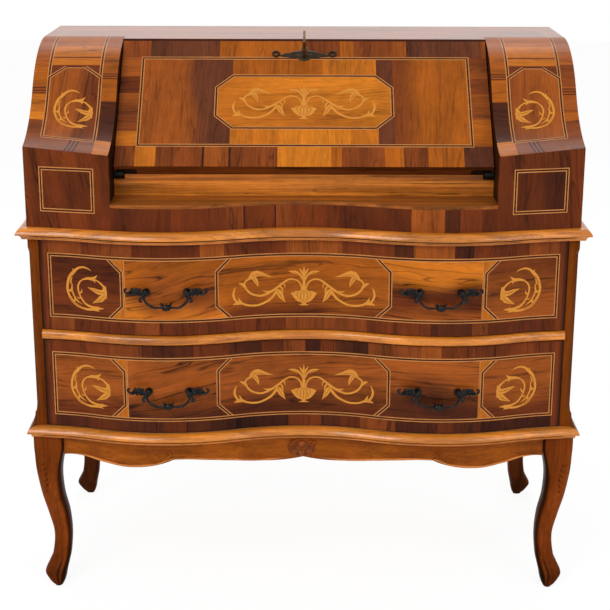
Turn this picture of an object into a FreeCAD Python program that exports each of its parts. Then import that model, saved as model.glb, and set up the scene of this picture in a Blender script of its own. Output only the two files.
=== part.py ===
import FreeCAD, Part
import math
import os
import re
import Sketcher

doc = FreeCAD.newDocument("escritoire")
sheet = doc.addObject("Spreadsheet::Sheet", "Sizes")

# Driving sizes in millimetres (angles in degrees) and what each one measures.
sizes = [
    ("case_width", 915, "outside width of the carcass"),
    ("case_depth", 430, "front of the posts to the outer face of the back"),
    ("front_setback", 187.4, "origin to the front of the posts"),
    ("leg_height", 283, "floor to the underside of the carcass"),
    ("floor_board", 18, "thickness of the carcass bottom"),
    ("lower_bay", 157, "height of the lower drawer's opening"),
    ("upper_bay", 158, "height of the upper drawer's opening"),
    ("waist_board", 20, "thickness of the waist board and height of its moulding"),
    ("crest_share", 0.513661, "crest of each bulge, as a share of the half width"),
    ("bulge_depth", 37.5, "hollow to crest of the serpentine front"),
    ("side_board", 18, "thickness of the lower sides and posts"),
    ("post_depth", 40, "depth of the front posts"),
    ("post_chamfer", 11, "chamfer of the posts' outer corners"),
    ("chamfer_margin", 16, "length of plain post above and below the chamfer"),
    ("back_board", 6, "thickness of the back panels"),
    ("divider_board", 16, "thickness of the drawer divider"),
    ("divider_nose", 8, "projection of the divider's round nose"),
    ("divider_depth", 60, "depth of the divider behind the drawer faces"),
    ("runner_width", 20, "width of the drawer runners"),
    ("drawer_gap", 1.5, "gap above and below each drawer front"),
    ("drawer_play", 1, "gap at each end of a drawer front"),
    ("box_play", 2, "gap at each side of a drawer box"),
    ("box_lift", 0.5, "running clearance under a drawer box"),
    ("drawer_front", 22, "thickness of the curved drawer fronts"),
    ("drawer_side", 12, "thickness of the drawer sides and backs"),
    ("wall_drop", 37.5, "top of a drawer's opening to the top of its sides"),
    ("drawer_clear", 84, "room behind the drawer boxes"),
    ("drawer_floor", 5, "thickness of the drawer bottoms"),
    ("floor_groove", 5, "depth of the groove holding a drawer bottom"),
    ("floor_lift", 8, "drawer side below the bottom's groove"),
    ("pilaster_width", 142, "width of each canted end of the upper case"),
    ("cheek_board", 12, "thickness of the inner cheeks"),
    ("upper_side", 12, "thickness of the upper sides"),
    ("flank_board", 10, "thickness of the canted flank panels"),
    ("flank_outer_share", 0.47331, "flank's outer top corner, as a share of the upper case"),
    ("flank_inner_share", 0.44128, "flank's inner top corner, as a share of the upper case"),
    ("slope_panel", 5, "thickness of the bent panels over the pilasters"),
    ("crown_share", 1.25, "radius of the pilaster's rounded part over its rise"),
    ("crown_turn", 52.8, "steepest slope of the pilaster"),
    ("crown_setback", 35.16, "front edge of the top to the flat top over the pilasters"),
    ("top_board", 16, "thickness of the top"),
    ("ledge_rise", 44, "waist board to the top of the serpentine ledge"),
    ("ledge_board", 6, "thickness of the ledge"),
    ("frieze_board", 18, "thickness of the curved frieze"),
    ("rail_height", 36, "ledge to the writing surface"),
    ("desk_rise", 201, "writing surface to the top surface"),
    ("bed_board", 18, "thickness of the writing bed"),
    ("bed_dado", 4, "depth the bed is housed into each cheek"),
    ("rail_setback", 40, "post plane to the face of the bed's front rail"),
    ("rail_board", 18, "thickness of the bed's front rail"),
    ("lid_slope", 43, "slope of the closed lid"),
    ("lid_board", 22, "thickness of the lid"),
    ("lid_play", 2, "gap at each end of the lid"),
    ("lid_top_gap", 1.5, "gap between the lid and the top"),
    ("hinge_gap", 0.5, "hinge line in front of the rail face"),
    ("pivot_radius", 3, "radius of the lid's pivot pins"),
    ("pivot_clearance", 0.05, "running clearance round a pivot pin"),
    ("pivot_reach", 9, "length of a pivot pin beyond its knuckle"),
    ("knuckle_radius", 6.5, "radius of the pivot knuckles"),
    ("knuckle_length", 15, "length of the pivot knuckles"),
    ("knuckle_gap", 1, "gap between a knuckle and its cheek"),
    ("notch_margin", 2, "clearance of the notches round the knuckles"),
    ("leaf_length", 38, "length of the pivot's leaf along the lid"),
    ("leaf_board", 2.5, "thickness of the pivot's leaf"),
    ("leaf_width", 14, "width of the pivot's leaf"),
    ("bush_wall", 3, "wall of the pivot bushes"),
    ("waist_overhang", 17, "projection of the waist moulding"),
    ("base_overhang", 15, "projection of the base moulding"),
    ("base_cove", 25, "height of the cove over the side base moulding"),
    ("block_out", 7, "leg block beyond the carcass face"),
    ("block_size", 51, "width of the leg block"),
    ("block_share", 0.9117, "underside of the leg block, as a share of the leg"),
    ("block_step", 0.5, "step in from the block to the leg below it"),
    ("knee_share", 0.7597, "height of the knee, as a share of the leg"),
    ("knee_out", 5.8, "knee beyond the carcass face"),
    ("knee_size", 43, "width of the knee"),
    ("calf_share", 0.6007, "height of the calf, as a share of the leg"),
    ("calf_out", -0.3, "calf beyond the carcass face"),
    ("calf_size", 38, "width of the calf"),
    ("shin_share", 0.4523, "height of the shin, as a share of the leg"),
    ("shin_out", -9, "shin beyond the carcass face"),
    ("shin_size", 36, "width of the shin"),
    ("ankle_share", 0.311, "height of the ankle, as a share of the leg"),
    ("ankle_out", -15.7, "ankle beyond the carcass face"),
    ("ankle_size", 31.3, "width of the ankle"),
    ("instep_share", 0.1767, "height of the instep, as a share of the leg"),
    ("instep_out", -12, "instep beyond the carcass face"),
    ("instep_size", 32.3, "width of the instep"),
    ("toe_share", 0.0707, "height of the toe, as a share of the leg"),
    ("toe_out", 0.5, "toe beyond the carcass face"),
    ("toe_size", 40, "width of the toe"),
    ("sole_out", -2, "sole beyond the carcass face"),
    ("sole_size", 34, "width of the sole"),
    ("leg_rounding", 5, "rounding of the legs' corners"),
    ("apron_inset", 4, "apron face behind the drawer faces"),
    ("apron_board", 18, "thickness of the front apron"),
    ("apron_end_drop", 35.5, "height of the apron at the legs"),
    ("apron_cusp_drop", 32, "height of the apron at its cusps"),
    ("apron_cusp_share", 0.483, "apron's cusps, as a share of the half width"),
    ("apron_outer_drop", 47.5, "height of the apron at the outer lobes"),
    ("apron_inner_drop", 45.5, "height of the apron at the inner lobes"),
    ("shell_radius", 22, "length of the carved shell's ribs"),
    ("shell_rib", 3.2, "radius of a rib at the shell's rim"),
    ("side_rail", 14, "thickness of the side and rear aprons"),
    ("side_rail_drop", 40, "height of the side and rear aprons"),
    ("side_rail_arch", 12, "rise of the arch under the side aprons"),
    ("glue_block", 24, "size of the glue blocks beside the legs"),
    ("handle_share", 0.492896, "middle of a handle, as a share of the half width"),
    ("handle_span", 67, "spacing of a handle's posts"),
    ("handle_drop", 2.5, "handle pivots below the middle of a drawer"),
    ("handle_standoff", 13, "drawer face to the handle pivots"),
    ("post_foot", 6.5, "radius of a handle post's foot"),
    ("post_foot_height", 2.5, "thickness of a handle post's foot"),
    ("post_stem", 3.2, "radius of a handle post's stem"),
    ("eye_radius", 4.5, "radius of a handle post's eye"),
    ("eye_length", 6, "length of a handle post's eye"),
    ("shank_radius", 2, "radius of a handle post's shank"),
    ("nut_radius", 5, "radius of a handle nut"),
    ("nut_height", 4, "thickness of a handle nut"),
    ("pin_radius", 2, "radius of a bail's pivot pins"),
    ("pin_clearance", 0.06, "running clearance round a bail's pins"),
    ("bail_inset", 7.5, "post axis to the end of the bail's bow"),
    ("bail_rod", 3, "radius of the bail's rod"),
    ("bail_knuckle", 3.6, "radius of the barrel where the bow meets a pin"),
    ("bail_rosette", 5.5, "radius of the knop at the bail's middle"),
    ("leaf_gap", 5.5, "post axis to the root of the leaf"),
    ("leaf_span", 33.5, "post axis to the tip of the leaf"),
    ("leaf_rise", 9, "rise of the leaf's tip over the pivots"),
    ("leaf_thickness", 4.5, "radius of the leaf at its root"),
    ("key_drop", 40, "top edge of the lid to the keyhole"),
    ("lock_width", 64, "width of the lock case"),
    ("lock_height", 58, "height of the lock case"),
    ("lock_depth", 14, "thickness of the lock case"),
    ("bolt_width", 20, "width of the bolt"),
    ("bolt_board", 4, "thickness of the bolt"),
    ("bolt_length", 22, "length of the bolt"),
    ("bolt_level", 5, "inner face of the lid to the bolt"),
    ("bolt_throw", 8, "travel of the bolt"),
    ("bolt_play", 0.3, "running clearance round the bolt"),
    ("key_shank", 3, "radius of the key's shank"),
    ("key_play", 0.4, "clearance round the key's shank"),
    ("key_tip", 4, "inner face of the lid to the end of the key"),
    ("key_bit", 7.5, "axis to the edge of the key's bit"),
    ("bit_board", 2.4, "thickness of the key's bit"),
    ("bit_height", 7, "height of the key's bit"),
    ("ward_radius", 10, "radius of the room the key turns in"),
    ("key_reach", 65, "key beyond the lid's outer face"),
    ("bow_radius", 12.5, "outer radius of the key's bow"),
    ("bow_bore", 7.5, "inner radius of the key's bow"),
    ("bow_board", 4, "thickness of the key's bow"),
    ("collar_radius", 5, "radius of the key's collar"),
    ("escutcheon_width", 112, "length of the escutcheon"),
    ("escutcheon_height", 19, "height of the escutcheon"),
    ("escutcheon_board", 2.5, "thickness of the escutcheon"),
    ("strike_width", 50, "length of the strike plate"),
    ("strike_board", 2, "thickness of the strike plate"),
    ("strike_height", 12, "height of the strike plate"),
    ("shelf_depth", 124, "depth of the inner shelf"),
    ("shelf_rise", 68, "writing surface to the underside of the inner shelf"),
    ("shelf_board", 8, "thickness of the inner shelf and dividers"),
    ("bay_share", 0.3328, "inner dividers, as a share of the half width inside"),
    ("inner_gap", 1.5, "gap round the fronts of the inner drawers"),
    ("inner_front", 10, "thickness of the inner drawer fronts"),
    ("inner_wall", 6, "thickness of the inner drawers' sides and bottoms"),
    ("inner_drop", 12, "inner drawer sides below the top of the front"),
    ("inner_clear", 4, "gap behind the inner drawers"),
    ("knob_radius", 7, "radius of the inner drawers' knobs"),
    ("knob_length", 15, "length of the knobs"),
    ("knob_stem", 3, "radius of the knobs' dowels"),
]
aliases = set()
for row, (alias, value, meaning) in enumerate(sizes, 1):
    sheet.set(f"A{row}", meaning)
    sheet.set(f"B{row}", str(value))
    sheet.setAlias(f"B{row}", alias)
    aliases.add(alias)
doc.recompute()

# Sizes that follow from the driving ones, written with their names.
derived = {
    "half_case": "case_width / 2",
    "half_inside": "case_width / 2 - side_board",
    "front": "-front_setback",
    "back": "case_depth - front_setback",
    "inside_back": "back - back_board",
    "case_floor": "leg_height + floor_board",
    "divider_height": "case_floor + lower_bay",
    "waist_height": "divider_height + divider_board + upper_bay",
    "upper_floor": "waist_height + waist_board",
    "ledge_height": "upper_floor + ledge_rise",
    "bed_height": "ledge_height + rail_height",
    "top_height": "bed_height + desk_rise",
    "upper_rise": "top_height - upper_floor",
    "flank_outer_height": "upper_floor + flank_outer_share * upper_rise",
    "flank_inner_height": "upper_floor + flank_inner_share * upper_rise",
    "half_cheek": "half_case - pilaster_width",
    "crest_offset": "crest_share * half_case",
    "handle_offset": "handle_share * half_case",
    "apron_cusp_offset": "apron_cusp_share * half_case",
    "bail_radius": "handle_span / 2 - bail_inset",
    "leaf_root": "handle_span / 2 + leaf_gap",
    "leaf_reach": "handle_span / 2 + leaf_span",
    "top_under": "top_height - top_board",
    "rail_face": "front + rail_setback",
    "rail_back": "rail_face + rail_board",
    "hinge_line": "rail_face - hinge_gap",
    "lid_length": "(desk_rise - lid_board * cos(lid_slope)) / sin(lid_slope)",
    "bevel": "lid_length + lid_top_gap",
    "top_edge": "hinge_line + bevel / cos(lid_slope) - desk_rise * tan(lid_slope)",
    "crown_line": "top_edge + crown_setback",
    "key_up": "lid_length - key_drop",
    "shelf_front": "inside_back - shelf_depth",
    "shelf_height": "bed_height + shelf_rise",
    "bay_offset": "bay_share * half_cheek",
    "half_drawer": "half_inside - drawer_play",
    "half_box": "half_inside - box_play",
    "box_inside": "half_box - drawer_side",
    "box_back": "inside_back - drawer_clear",
}
for station in ("toe", "instep", "ankle", "shin", "calf", "knee", "block"):
    derived[station + "_height"] = f"{station}_share * leg_height"
word = re.compile(r"[a-z_]+")


def spelled(text):
    def swap(match):
        name = match.group(0)
        if name in derived:
            return "(" + spelled(derived[name]) + ")"
        return "Sizes." + name if name in aliases else name
    return word.sub(swap, text)


def number(text):
    return float(sheet.evalExpression(spelled(text)))


def bind(item, prop, text):
    item.setExpression(prop, spelled(text))


def add(kind, label):
    item = doc.addObject(kind, re.sub(r"\W", "_", label))
    item.Label = label
    return item


# A straight board between two stops along each axis.
def board(label, x, y, z):
    box = add("Part::Box", label)
    stops = (("Length", "x", x), ("Width", "y", y), ("Height", "z", z))
    for side, axis, (start, end) in stops:
        bind(box, side, f"({end}) - ({start})")
        bind(box, f"Placement.Base.{axis}", start)
    return box


# Lays an item in the plane of the closed lid: up the slope, then out of its inner face.
def lay_on_lid(item, x, up, out):
    item.Placement.Rotation = FreeCAD.Rotation(FreeCAD.Vector(1, 0, 0), 1)
    bind(item, "Placement.Rotation.Angle", "lid_slope")
    bind(item, "Placement.Base.x", x)
    bind(item, "Placement.Base.y", f"hinge_line + ({up}) * cos(lid_slope) - ({out}) * sin(lid_slope)")
    bind(item, "Placement.Base.z", f"bed_height + ({up}) * sin(lid_slope) + ({out}) * cos(lid_slope)")


def lid_block(label, x, up, out):
    box = add("Part::Box", label)
    for side, (start, end) in (("Length", x), ("Width", up), ("Height", out)):
        bind(box, side, f"({end}) - ({start})")
    lay_on_lid(box, x[0], up[0], out[0])
    return box


def lid_bore(label, radius, up, out):
    rod = add("Part::Cylinder", label)
    bind(rod, "Radius", radius)
    bind(rod, "Height", f"({out[1]}) - ({out[0]})")
    lay_on_lid(rod, "0", up, out[0])
    return rod


directions = {"x": (0, 90), "y": (-90, 0), "z": (0, 0)}


def rod(label, radius, axis, start, length):
    item = add("Part::Cylinder", label)
    bind(item, "Radius", radius)
    bind(item, "Height", length)
    roll, pitch = directions[axis]
    item.Placement.Rotation = FreeCAD.Rotation(0, pitch, roll)
    for name, place in zip("xyz", start):
        bind(item, f"Placement.Base.{name}", place)
    return item


def cut(label, base, *tools):
    item = add("Part::Cut", label)
    item.Base = base
    item.Tool = tools[0] if len(tools) == 1 else fuse(label + " waste", *tools)
    return item


def fuse(label, *pieces):
    item = add("Part::MultiFuse", label)
    item.Shapes = list(pieces)
    item.Refine = True
    return item


def mirrored(label, source):
    item = add("Part::Mirroring", label)
    item.Source = source
    item.Normal = FreeCAD.Vector(1, 0, 0)
    return item


def group(label, *pieces):
    item = add("Part::Compound", label)
    item.Links = list(pieces)
    return item


def pair(label, source):
    return group(label, source, mirrored(label + " right", source))


def shaped(label, shape):
    item = add("Part::Feature", label)
    item.Shape = shape
    return item


def plane_of(body, role):
    return [item for item in body.Origin.OriginFeatures if item.Role == role][0]


# A closed outline whose corners are all placed by the sizes.
def outline(body, role, corners, shift="0"):
    sketch = body.newObject("Sketcher::SketchObject", body.Name + "_outline")
    sketch.AttachmentSupport = [(plane_of(body, role), "")]
    sketch.MapMode = "FlatFace"
    bind(sketch, "AttachmentOffset.Base.z", shift)
    spots = [FreeCAD.Vector(number(across), number(along), 0) for across, along in corners]
    count = len(corners)
    for i in range(count):
        sketch.addGeometry(Part.LineSegment(spots[i], spots[(i + 1) % count]), False)
    for i in range(count):
        sketch.addConstraint(Sketcher.Constraint("Coincident", i, 2, (i + 1) % count, 1))
    for i, (across, along) in enumerate(corners):
        for kind, text, value in (("DistanceX", across, spots[i].x), ("DistanceY", along, spots[i].y)):
            index = sketch.addConstraint(Sketcher.Constraint(kind, -1, 1, i, 1, value))
            bind(sketch, f"Constraints[{index}]", text)
    doc.recompute()
    return sketch


def ring(body, role, centre, radii):
    sketch = body.newObject("Sketcher::SketchObject", body.Name + "_ring")
    sketch.AttachmentSupport = [(plane_of(body, role), "")]
    sketch.MapMode = "FlatFace"
    middle = FreeCAD.Vector(number(centre[0]), number(centre[1]), 0)
    for i, radius in enumerate(radii):
        sketch.addGeometry(Part.Circle(middle, FreeCAD.Vector(0, 0, 1), number(radius)), False)
        laws = (
            (Sketcher.Constraint("Radius", i, number(radius)), radius),
            (Sketcher.Constraint("DistanceX", -1, 1, i, 3, middle.x), centre[0]),
            (Sketcher.Constraint("DistanceY", -1, 1, i, 3, middle.y), centre[1]),
        )
        for law, text in laws:
            index = sketch.addConstraint(law)
            bind(sketch, f"Constraints[{index}]", text)
    doc.recompute()
    return sketch


def padded(body, sketch, length, centred=True):
    pad = body.newObject("PartDesign::Pad", body.Name + "_pad")
    pad.Profile = sketch
    pad.SideType = "Symmetric" if centred else "One side"
    bind(pad, "Length", length)
    sketch.Visibility = False
    doc.recompute()
    return pad


def turned(body, sketch):
    spin = body.newObject("PartDesign::Revolution", body.Name + "_turning")
    spin.Profile = sketch
    spin.ReferenceAxis = (sketch, ["V_Axis"])
    spin.Angle = 360
    sketch.Visibility = False
    doc.recompute()
    return spin


# The serpentine front: arcs of one radius, hollow at the centre and the ends, bulging between.
crest = number("crest_offset")
bulge = number("bulge_depth")
front = number("front")
back = number("back")
half_case = number("half_case")
case_depth = number("case_depth")
half_cheek = number("half_cheek")
sweep = ((crest / 2) ** 2 + (bulge / 2) ** 2) / bulge
up = FreeCAD.Vector(0, 0, 1)


def arc_of(x, offset=0.0):
    side = math.copysign(1, x)
    if abs(x) < crest / 2 * (1 - offset / sweep):
        return 0.0, front - sweep, sweep - offset, 1
    if abs(x) < crest / 2 * (3 + offset / sweep):
        return side * crest, front - bulge + sweep, sweep + offset, -1
    return side * 2 * crest, front - sweep, sweep - offset, 1


def front_y(x, offset=0.0):
    middle_x, middle_y, radius, sense = arc_of(x, offset)
    return middle_y + sense * math.sqrt(radius ** 2 - (x - middle_x) ** 2)


def stops_between(start, end, offset=0.0):
    inner = crest / 2 * (1 - offset / sweep)
    outer = crest / 2 * (3 + offset / sweep)
    bends = [x for x in (-outer, -inner, inner, outer) if start < x < end]
    return [start] + bends + [end]


def front_edges(start, end, offset, z):
    stops = stops_between(start, end, offset)
    edges = []
    for a, b in zip(stops, stops[1:]):
        spots = [FreeCAD.Vector(x, front_y(x, offset), z) for x in (a, (a + b) / 2, b)]
        edges.append(Part.Arc(*spots).toShape())
    return edges


def closed(edges):
    return Part.Wire(Part.sortEdges(edges)[0])


def lofted(loops, straight=False):
    solid = Part.makeLoft(loops, True, straight)
    if solid.Volume < 0:
        solid.reverse()
    return solid


# A board cut to the serpentine in front, and either to the same curve or straight behind.
def curved_board(half, outer, z, inner=None, behind=None):
    low, high = z
    edges = front_edges(-half, half, outer, low)
    ends = []
    if behind is None:
        edges += front_edges(-half, half, inner, low)
        ends = [front_y(half, inner)] * 2
    else:
        ends = [behind] * 2
        edges.append(Part.makeLine((-half, behind, low), (half, behind, low)))
    for side, end in zip((-half, half), ends):
        edges.append(Part.makeLine((side, front_y(side, outer), low), (side, end, low)))
    return Part.Face(closed(edges)).extrude(up * (high - low))


# A moulding's section: straight between single points, an arc where a middle point is given.
def section_face(path, place):
    edges = []
    spot = path[0]
    for step in path[1:] + [path[0]]:
        if isinstance(step[0], tuple):
            middle, step = step
            edges.append(Part.Arc(place(*spot), place(*middle), place(*step)).toShape())
        elif step != spot:
            edges.append(Part.makeLine(place(*spot), place(*step)))
        spot = step
    return Part.Face(Part.Wire(edges))


# Carries a section along the serpentine, turning it round the centre of each arc.
def along_front(path, half):
    pieces = []
    stops = stops_between(-half, half)
    for a, b in zip(stops, stops[1:]):
        middle_x, middle_y, radius, sense = arc_of((a + b) / 2)
        begin = math.atan2(front_y(a) - middle_y, a - middle_x)
        finish = math.atan2(front_y(b) - middle_y, b - middle_x)
        outward = FreeCAD.Vector(math.cos(begin), math.sin(begin), 0) * -sense
        root = FreeCAD.Vector(a, front_y(a), 0)

        def place(out, z):
            return root + outward * out + up * z

        turn = math.degrees(finish - begin)
        face = section_face(path, place)
        pieces.append(face.revolve(FreeCAD.Vector(middle_x, middle_y, 0), up, turn))
    solid = pieces[0]
    for piece in pieces[1:]:
        solid = solid.fuse(piece)
    return solid.removeSplitter()


def prism(corners, z):
    low, high = z
    loop = [FreeCAD.Vector(x, y, low) for x, y in corners]
    return Part.Face(Part.makePolygon(loop + loop[:1])).extrude(up * (high - low))


# A mitred frame of mouldings: the curved front strip and the two straight sides.
def mitred(front_path, side_path, z):
    corner = front_y(half_case)
    reach = 60
    strip = along_front(front_path, half_case + reach)
    for side in (-1, 1):
        waste = [(0, 0), (2 * reach, -2 * reach), (2 * reach, 2 * reach), (0, 2 * reach)]
        waste = [(side * (half_case + x), corner + y) for x, y in waste]
        strip = strip.cut(prism(waste, z))

    def place(out, height):
        return FreeCAD.Vector(half_case + out, corner - reach, height)

    side = section_face(side_path, place).extrude(FreeCAD.Vector(0, back - corner + reach, 0))
    waste = [(0, 0), (2 * reach, -2 * reach), (-reach, -2 * reach), (-reach, 0)]
    side = side.cut(prism([(half_case + x, corner + y) for x, y in waste], z))
    return strip, side


# Waist and base mouldings.
waist = number("waist_height")
rise = number("waist_board")
over = number("waist_overhang")
waist_path = [
    (0, waist),
    (0.47 * over, waist),
    ((0.62 * over, waist + 0.28 * rise), (over, waist + 0.41 * rise)),
    (over, waist + 0.52 * rise),
    ((0.8 * over, waist + 0.8 * rise), (0.25 * over, waist + rise)),
    (0, waist + rise),
]
strip, side = mitred(waist_path, waist_path, (waist - rise, waist + 2 * rise))
waist_moulding_front = shaped("waist_moulding_front", strip)
waist_moulding_sides = pair("waist_moulding_sides", shaped("waist moulding left", side))

leg_top = number("leg_height")
thick = number("floor_board")
over = number("base_overhang")
cove = number("base_cove")
base_nose = [
    (0, leg_top),
    (0.6 * over, leg_top),
    ((0.68 * over, leg_top + 0.27 * thick), (over, leg_top + 0.36 * thick)),
    (over, leg_top + 0.56 * thick),
]
base_front_path = base_nose + [
    ((0.72 * over, leg_top + 0.86 * thick), (0.2 * over, leg_top + thick)),
    (0, leg_top + thick),
]
base_side_path = base_nose + [
    ((0.33 * over, leg_top + 0.6 * (thick + cove)), (0.1 * over, leg_top + thick + cove)),
    (0, leg_top + thick + cove),
]
strip, side = mitred(base_front_path, base_side_path, (leg_top - thick, leg_top + 2 * (thick + cove)))
base_moulding_front = shaped("base_moulding_front", strip)
base_moulding_sides = pair("base_moulding_sides", shaped("base moulding left", side))

# Carcass below the waist.
bottom_board = shaped("bottom_board", curved_board(
    half_case, 0, (leg_top, number("case_floor")), behind=back))
waist_board = shaped("waist_board", curved_board(
    half_case, 0, (waist, number("upper_floor")), behind=back))
lower_side_panels = pair("lower_side_panels", board(
    "lower side left", ("-half_case", "-half_inside"), ("front + post_depth", "back"),
    ("case_floor", "waist_height")))
lower_back_panel = board(
    "lower_back_panel", ("-half_inside", "half_inside"), ("inside_back", "back"),
    ("case_floor", "waist_height"))


def chamfer_waste():
    size = number("post_chamfer")
    margin = number("chamfer_margin")
    low = number("case_floor") + number("base_cove")
    high = waist - margin
    loops = []
    for z, part in ((low, 0.05), (low + size, 1), (high - size, 1), (high, 0.05)):
        corner = FreeCAD.Vector(-half_case - 1, front - 1, z)
        reach = size * part + 2
        spots = [corner, corner + FreeCAD.Vector(reach, 0, 0), corner + FreeCAD.Vector(0, reach, 0)]
        loops.append(Part.makePolygon(spots + spots[:1]))
    return lofted(loops, True)


front_posts = pair("front_posts", cut(
    "front post left",
    board("front post blank", ("-half_case", "-half_inside"), ("front", "front + post_depth"),
          ("case_floor", "waist_height")),
    shaped("post chamfer", chamfer_waste())))

nose = number("divider_nose")
depth = number("divider_depth")
low = number("divider_height")
high = low + number("divider_board")
divider_path = [
    (-depth, low),
    (0, low),
    ((nose, (low + high) / 2), (0, high)),
    (-depth, high),
]
half_inside = number("half_inside")
divider = along_front(divider_path, half_inside + 20)
divider = divider.common(Part.makeBox(
    2 * half_inside, case_depth, high - low + 2,
    FreeCAD.Vector(-half_inside, front - case_depth / 2, low - 1)))
drawer_divider = shaped("drawer_divider", divider)
drawer_runners = pair("drawer_runners", board(
    "drawer runner left", ("-half_inside", "-half_inside + runner_width"),
    ("front + divider_depth", "inside_back"), ("divider_height", "divider_height + divider_board")))

# Legs: squared sections that swell at the knee, draw in to the ankle and flare at the toe.
rounding = number("leg_rounding")


def squared(low_x, low_y, size, z):
    r = min(rounding, 0.3 * size)
    k = r * (1 - math.sqrt(0.5))
    corners = ((0, 0, 1, 1), (size, 0, -1, 1), (size, size, -1, -1), (0, size, 1, -1))
    spots = []
    for i, (x, y, sx, sy) in enumerate(corners):
        first = (x, y + sy * r) if i % 2 == 0 else (x + sx * r, y)
        last = (x + sx * r, y) if i % 2 == 0 else (x, y + sy * r)
        for dx, dy in (first, (x + sx * k, y + sy * k), last):
            spots.append(FreeCAD.Vector(low_x + dx, low_y + dy, z))
    edges = []
    for i in range(4):
        edges.append(Part.Arc(*spots[3 * i:3 * i + 3]).toShape())
        edges.append(Part.makeLine(spots[3 * i + 2], spots[(3 * i + 3) % 12]))
    return Part.Wire(edges)


def leg_shape():
    under = number("block_height")
    stations = [("sole", 0.0, 0.0)]
    stations += [(name, number(name + "_height"), 0.0)
                 for name in ("toe", "instep", "ankle", "shin", "calf", "knee")]
    stations += [("block", under, number("block_step")), ("block", under, 0.0), ("block", leg_top, 0.0)]
    loops = []
    for name, z, step in stations:
        out = number(name + "_out") - step
        loops.append(squared(-half_case - out, front - out, number(name + "_size") - 2 * step, z))
    return lofted(loops[:-2]).fuse(lofted(loops[-2:], True)).removeSplitter()


leg = leg_shape()
rear = leg.mirror(
    FreeCAD.Vector(0, 0, 0), FreeCAD.Vector(0, 1, 0))
rear.translate(FreeCAD.Vector(0, back + front - number("block_out"), 0))
front_left_leg = shaped("front_left_leg", leg)
front_right_leg = mirrored("front_right_leg", front_left_leg)
rear_left_leg = shaped("rear_left_leg", rear)
rear_right_leg = mirrored("rear_right_leg", rear_left_leg)

# Aprons between the legs, with a shell carved at the middle of the front one.
leg_inside = "half_case + block_out - block_size"
half_apron = number(leg_inside)


def apron_shape():
    lowest = number("apron_outer_drop")
    cusp_x = number("apron_cusp_offset")
    span = half_apron - cusp_x
    end, cusp, outer, inner = (
        leg_top - number(f"apron_{name}_drop") for name in ("end", "cusp", "outer", "inner"))
    inner_wave = [(0, (inner + end) / 2), (0.33 * cusp_x, inner),
                  (0.7 * cusp_x, cusp + 0.27 * (inner - cusp)), (cusp_x, cusp)]
    outer_wave = [(cusp_x, cusp), (cusp_x + 0.165 * span, cusp + 0.7 * (outer - cusp)),
                  (cusp_x + 0.42 * span, outer), (cusp_x + 0.66 * span, (end + outer) / 2),
                  (cusp_x + 0.82 * span, end), (half_apron, end)]
    right = []
    for wave in (inner_wave, outer_wave):
        curve = Part.BSplineCurve()
        curve.interpolate([FreeCAD.Vector(x, 0, z) for x, z in wave])
        right.append(curve.toShape())
    corner = FreeCAD.Vector(half_apron, 0, leg_top)
    right.append(Part.makeLine(FreeCAD.Vector(half_apron, 0, end), corner))
    left = [edge.mirror(FreeCAD.Vector(), FreeCAD.Vector(1, 0, 0)) for edge in right]
    top = Part.makeLine(corner, FreeCAD.Vector(-half_apron, 0, leg_top))
    slab = Part.Face(closed(right + left + [top])).extrude(FreeCAD.Vector(0, case_depth, 0))
    slab.translate(FreeCAD.Vector(0, front - case_depth / 2, 0))
    inset = number("apron_inset")
    curve = curved_board(half_apron, -inset, (leg_top - 2 * lowest, leg_top),
                         inner=-inset - number("apron_board"))
    return curve.common(slab)


def shell_ribs():
    length = number("shell_radius")
    rim = number("shell_rib")
    root = FreeCAD.Vector(0, front_y(0, -number("apron_inset")), leg_top - rim)
    ribs = []
    for step in range(-3, 4):
        lean = math.radians(20 * step)
        way = FreeCAD.Vector(math.sin(lean), 0, -math.cos(lean))
        ribs.append(Part.makeCone(0.3 * rim, rim, length, root, way))
        ribs.append(Part.makeSphere(1.1 * rim, root + way * length, way))
    return ribs


apron = apron_shape()
for rib in shell_ribs():
    apron = apron.fuse(rib)
front_apron = shaped("front_apron", apron.removeSplitter())

apron_start = "front - block_out + block_size"
apron_end = "back - block_size"
low_edge = "leg_height - side_rail_drop"
body = add("PartDesign::Body", "side apron left")
padded(body, outline(body, "YZ_Plane", [
    (apron_start, "leg_height"),
    (apron_start, low_edge),
    (apron_start + " + 2 * side_rail_arch", low_edge),
    (apron_start + " + 5 * side_rail_arch", low_edge + " + side_rail_arch"),
    (apron_end + " - 5 * side_rail_arch", low_edge + " + side_rail_arch"),
    (apron_end + " - 2 * side_rail_arch", low_edge),
    (apron_end, low_edge),
    (apron_end, "leg_height"),
], "-half_case + 2"), "side_rail", False)
side_aprons = pair("side_aprons", body)
rear_rail = board(
    "rear_rail", (f"-({leg_inside})", leg_inside), ("back - 2 * side_rail", "back - side_rail"),
    (low_edge, "leg_height"))
block_x = (f"-({leg_inside})", f"glue_block - ({leg_inside})")
block_z = ("leg_height - 1.3 * glue_block", "leg_height")
front_block = board("front glue block", block_x,
                    (apron_start + " - glue_block", apron_start), block_z)
rear_block = board("rear glue block", block_x, (apron_end, "back - 2 * side_rail"), block_z)
glue_blocks = group("glue_blocks", front_block, rear_block,
                    mirrored("front glue block right", front_block),
                    mirrored("rear glue block right", rear_block))

# Upper case: each pilaster is drawn at its outer and inner ends and ruled between them.
floor_z = number("upper_floor")
top = number("top_height")
top_under = number("top_under")
flat_y = number("crown_line")
crown = number("crown_share * (top_height - flank_outer_height)")
steep = math.radians(number("crown_turn"))


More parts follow.
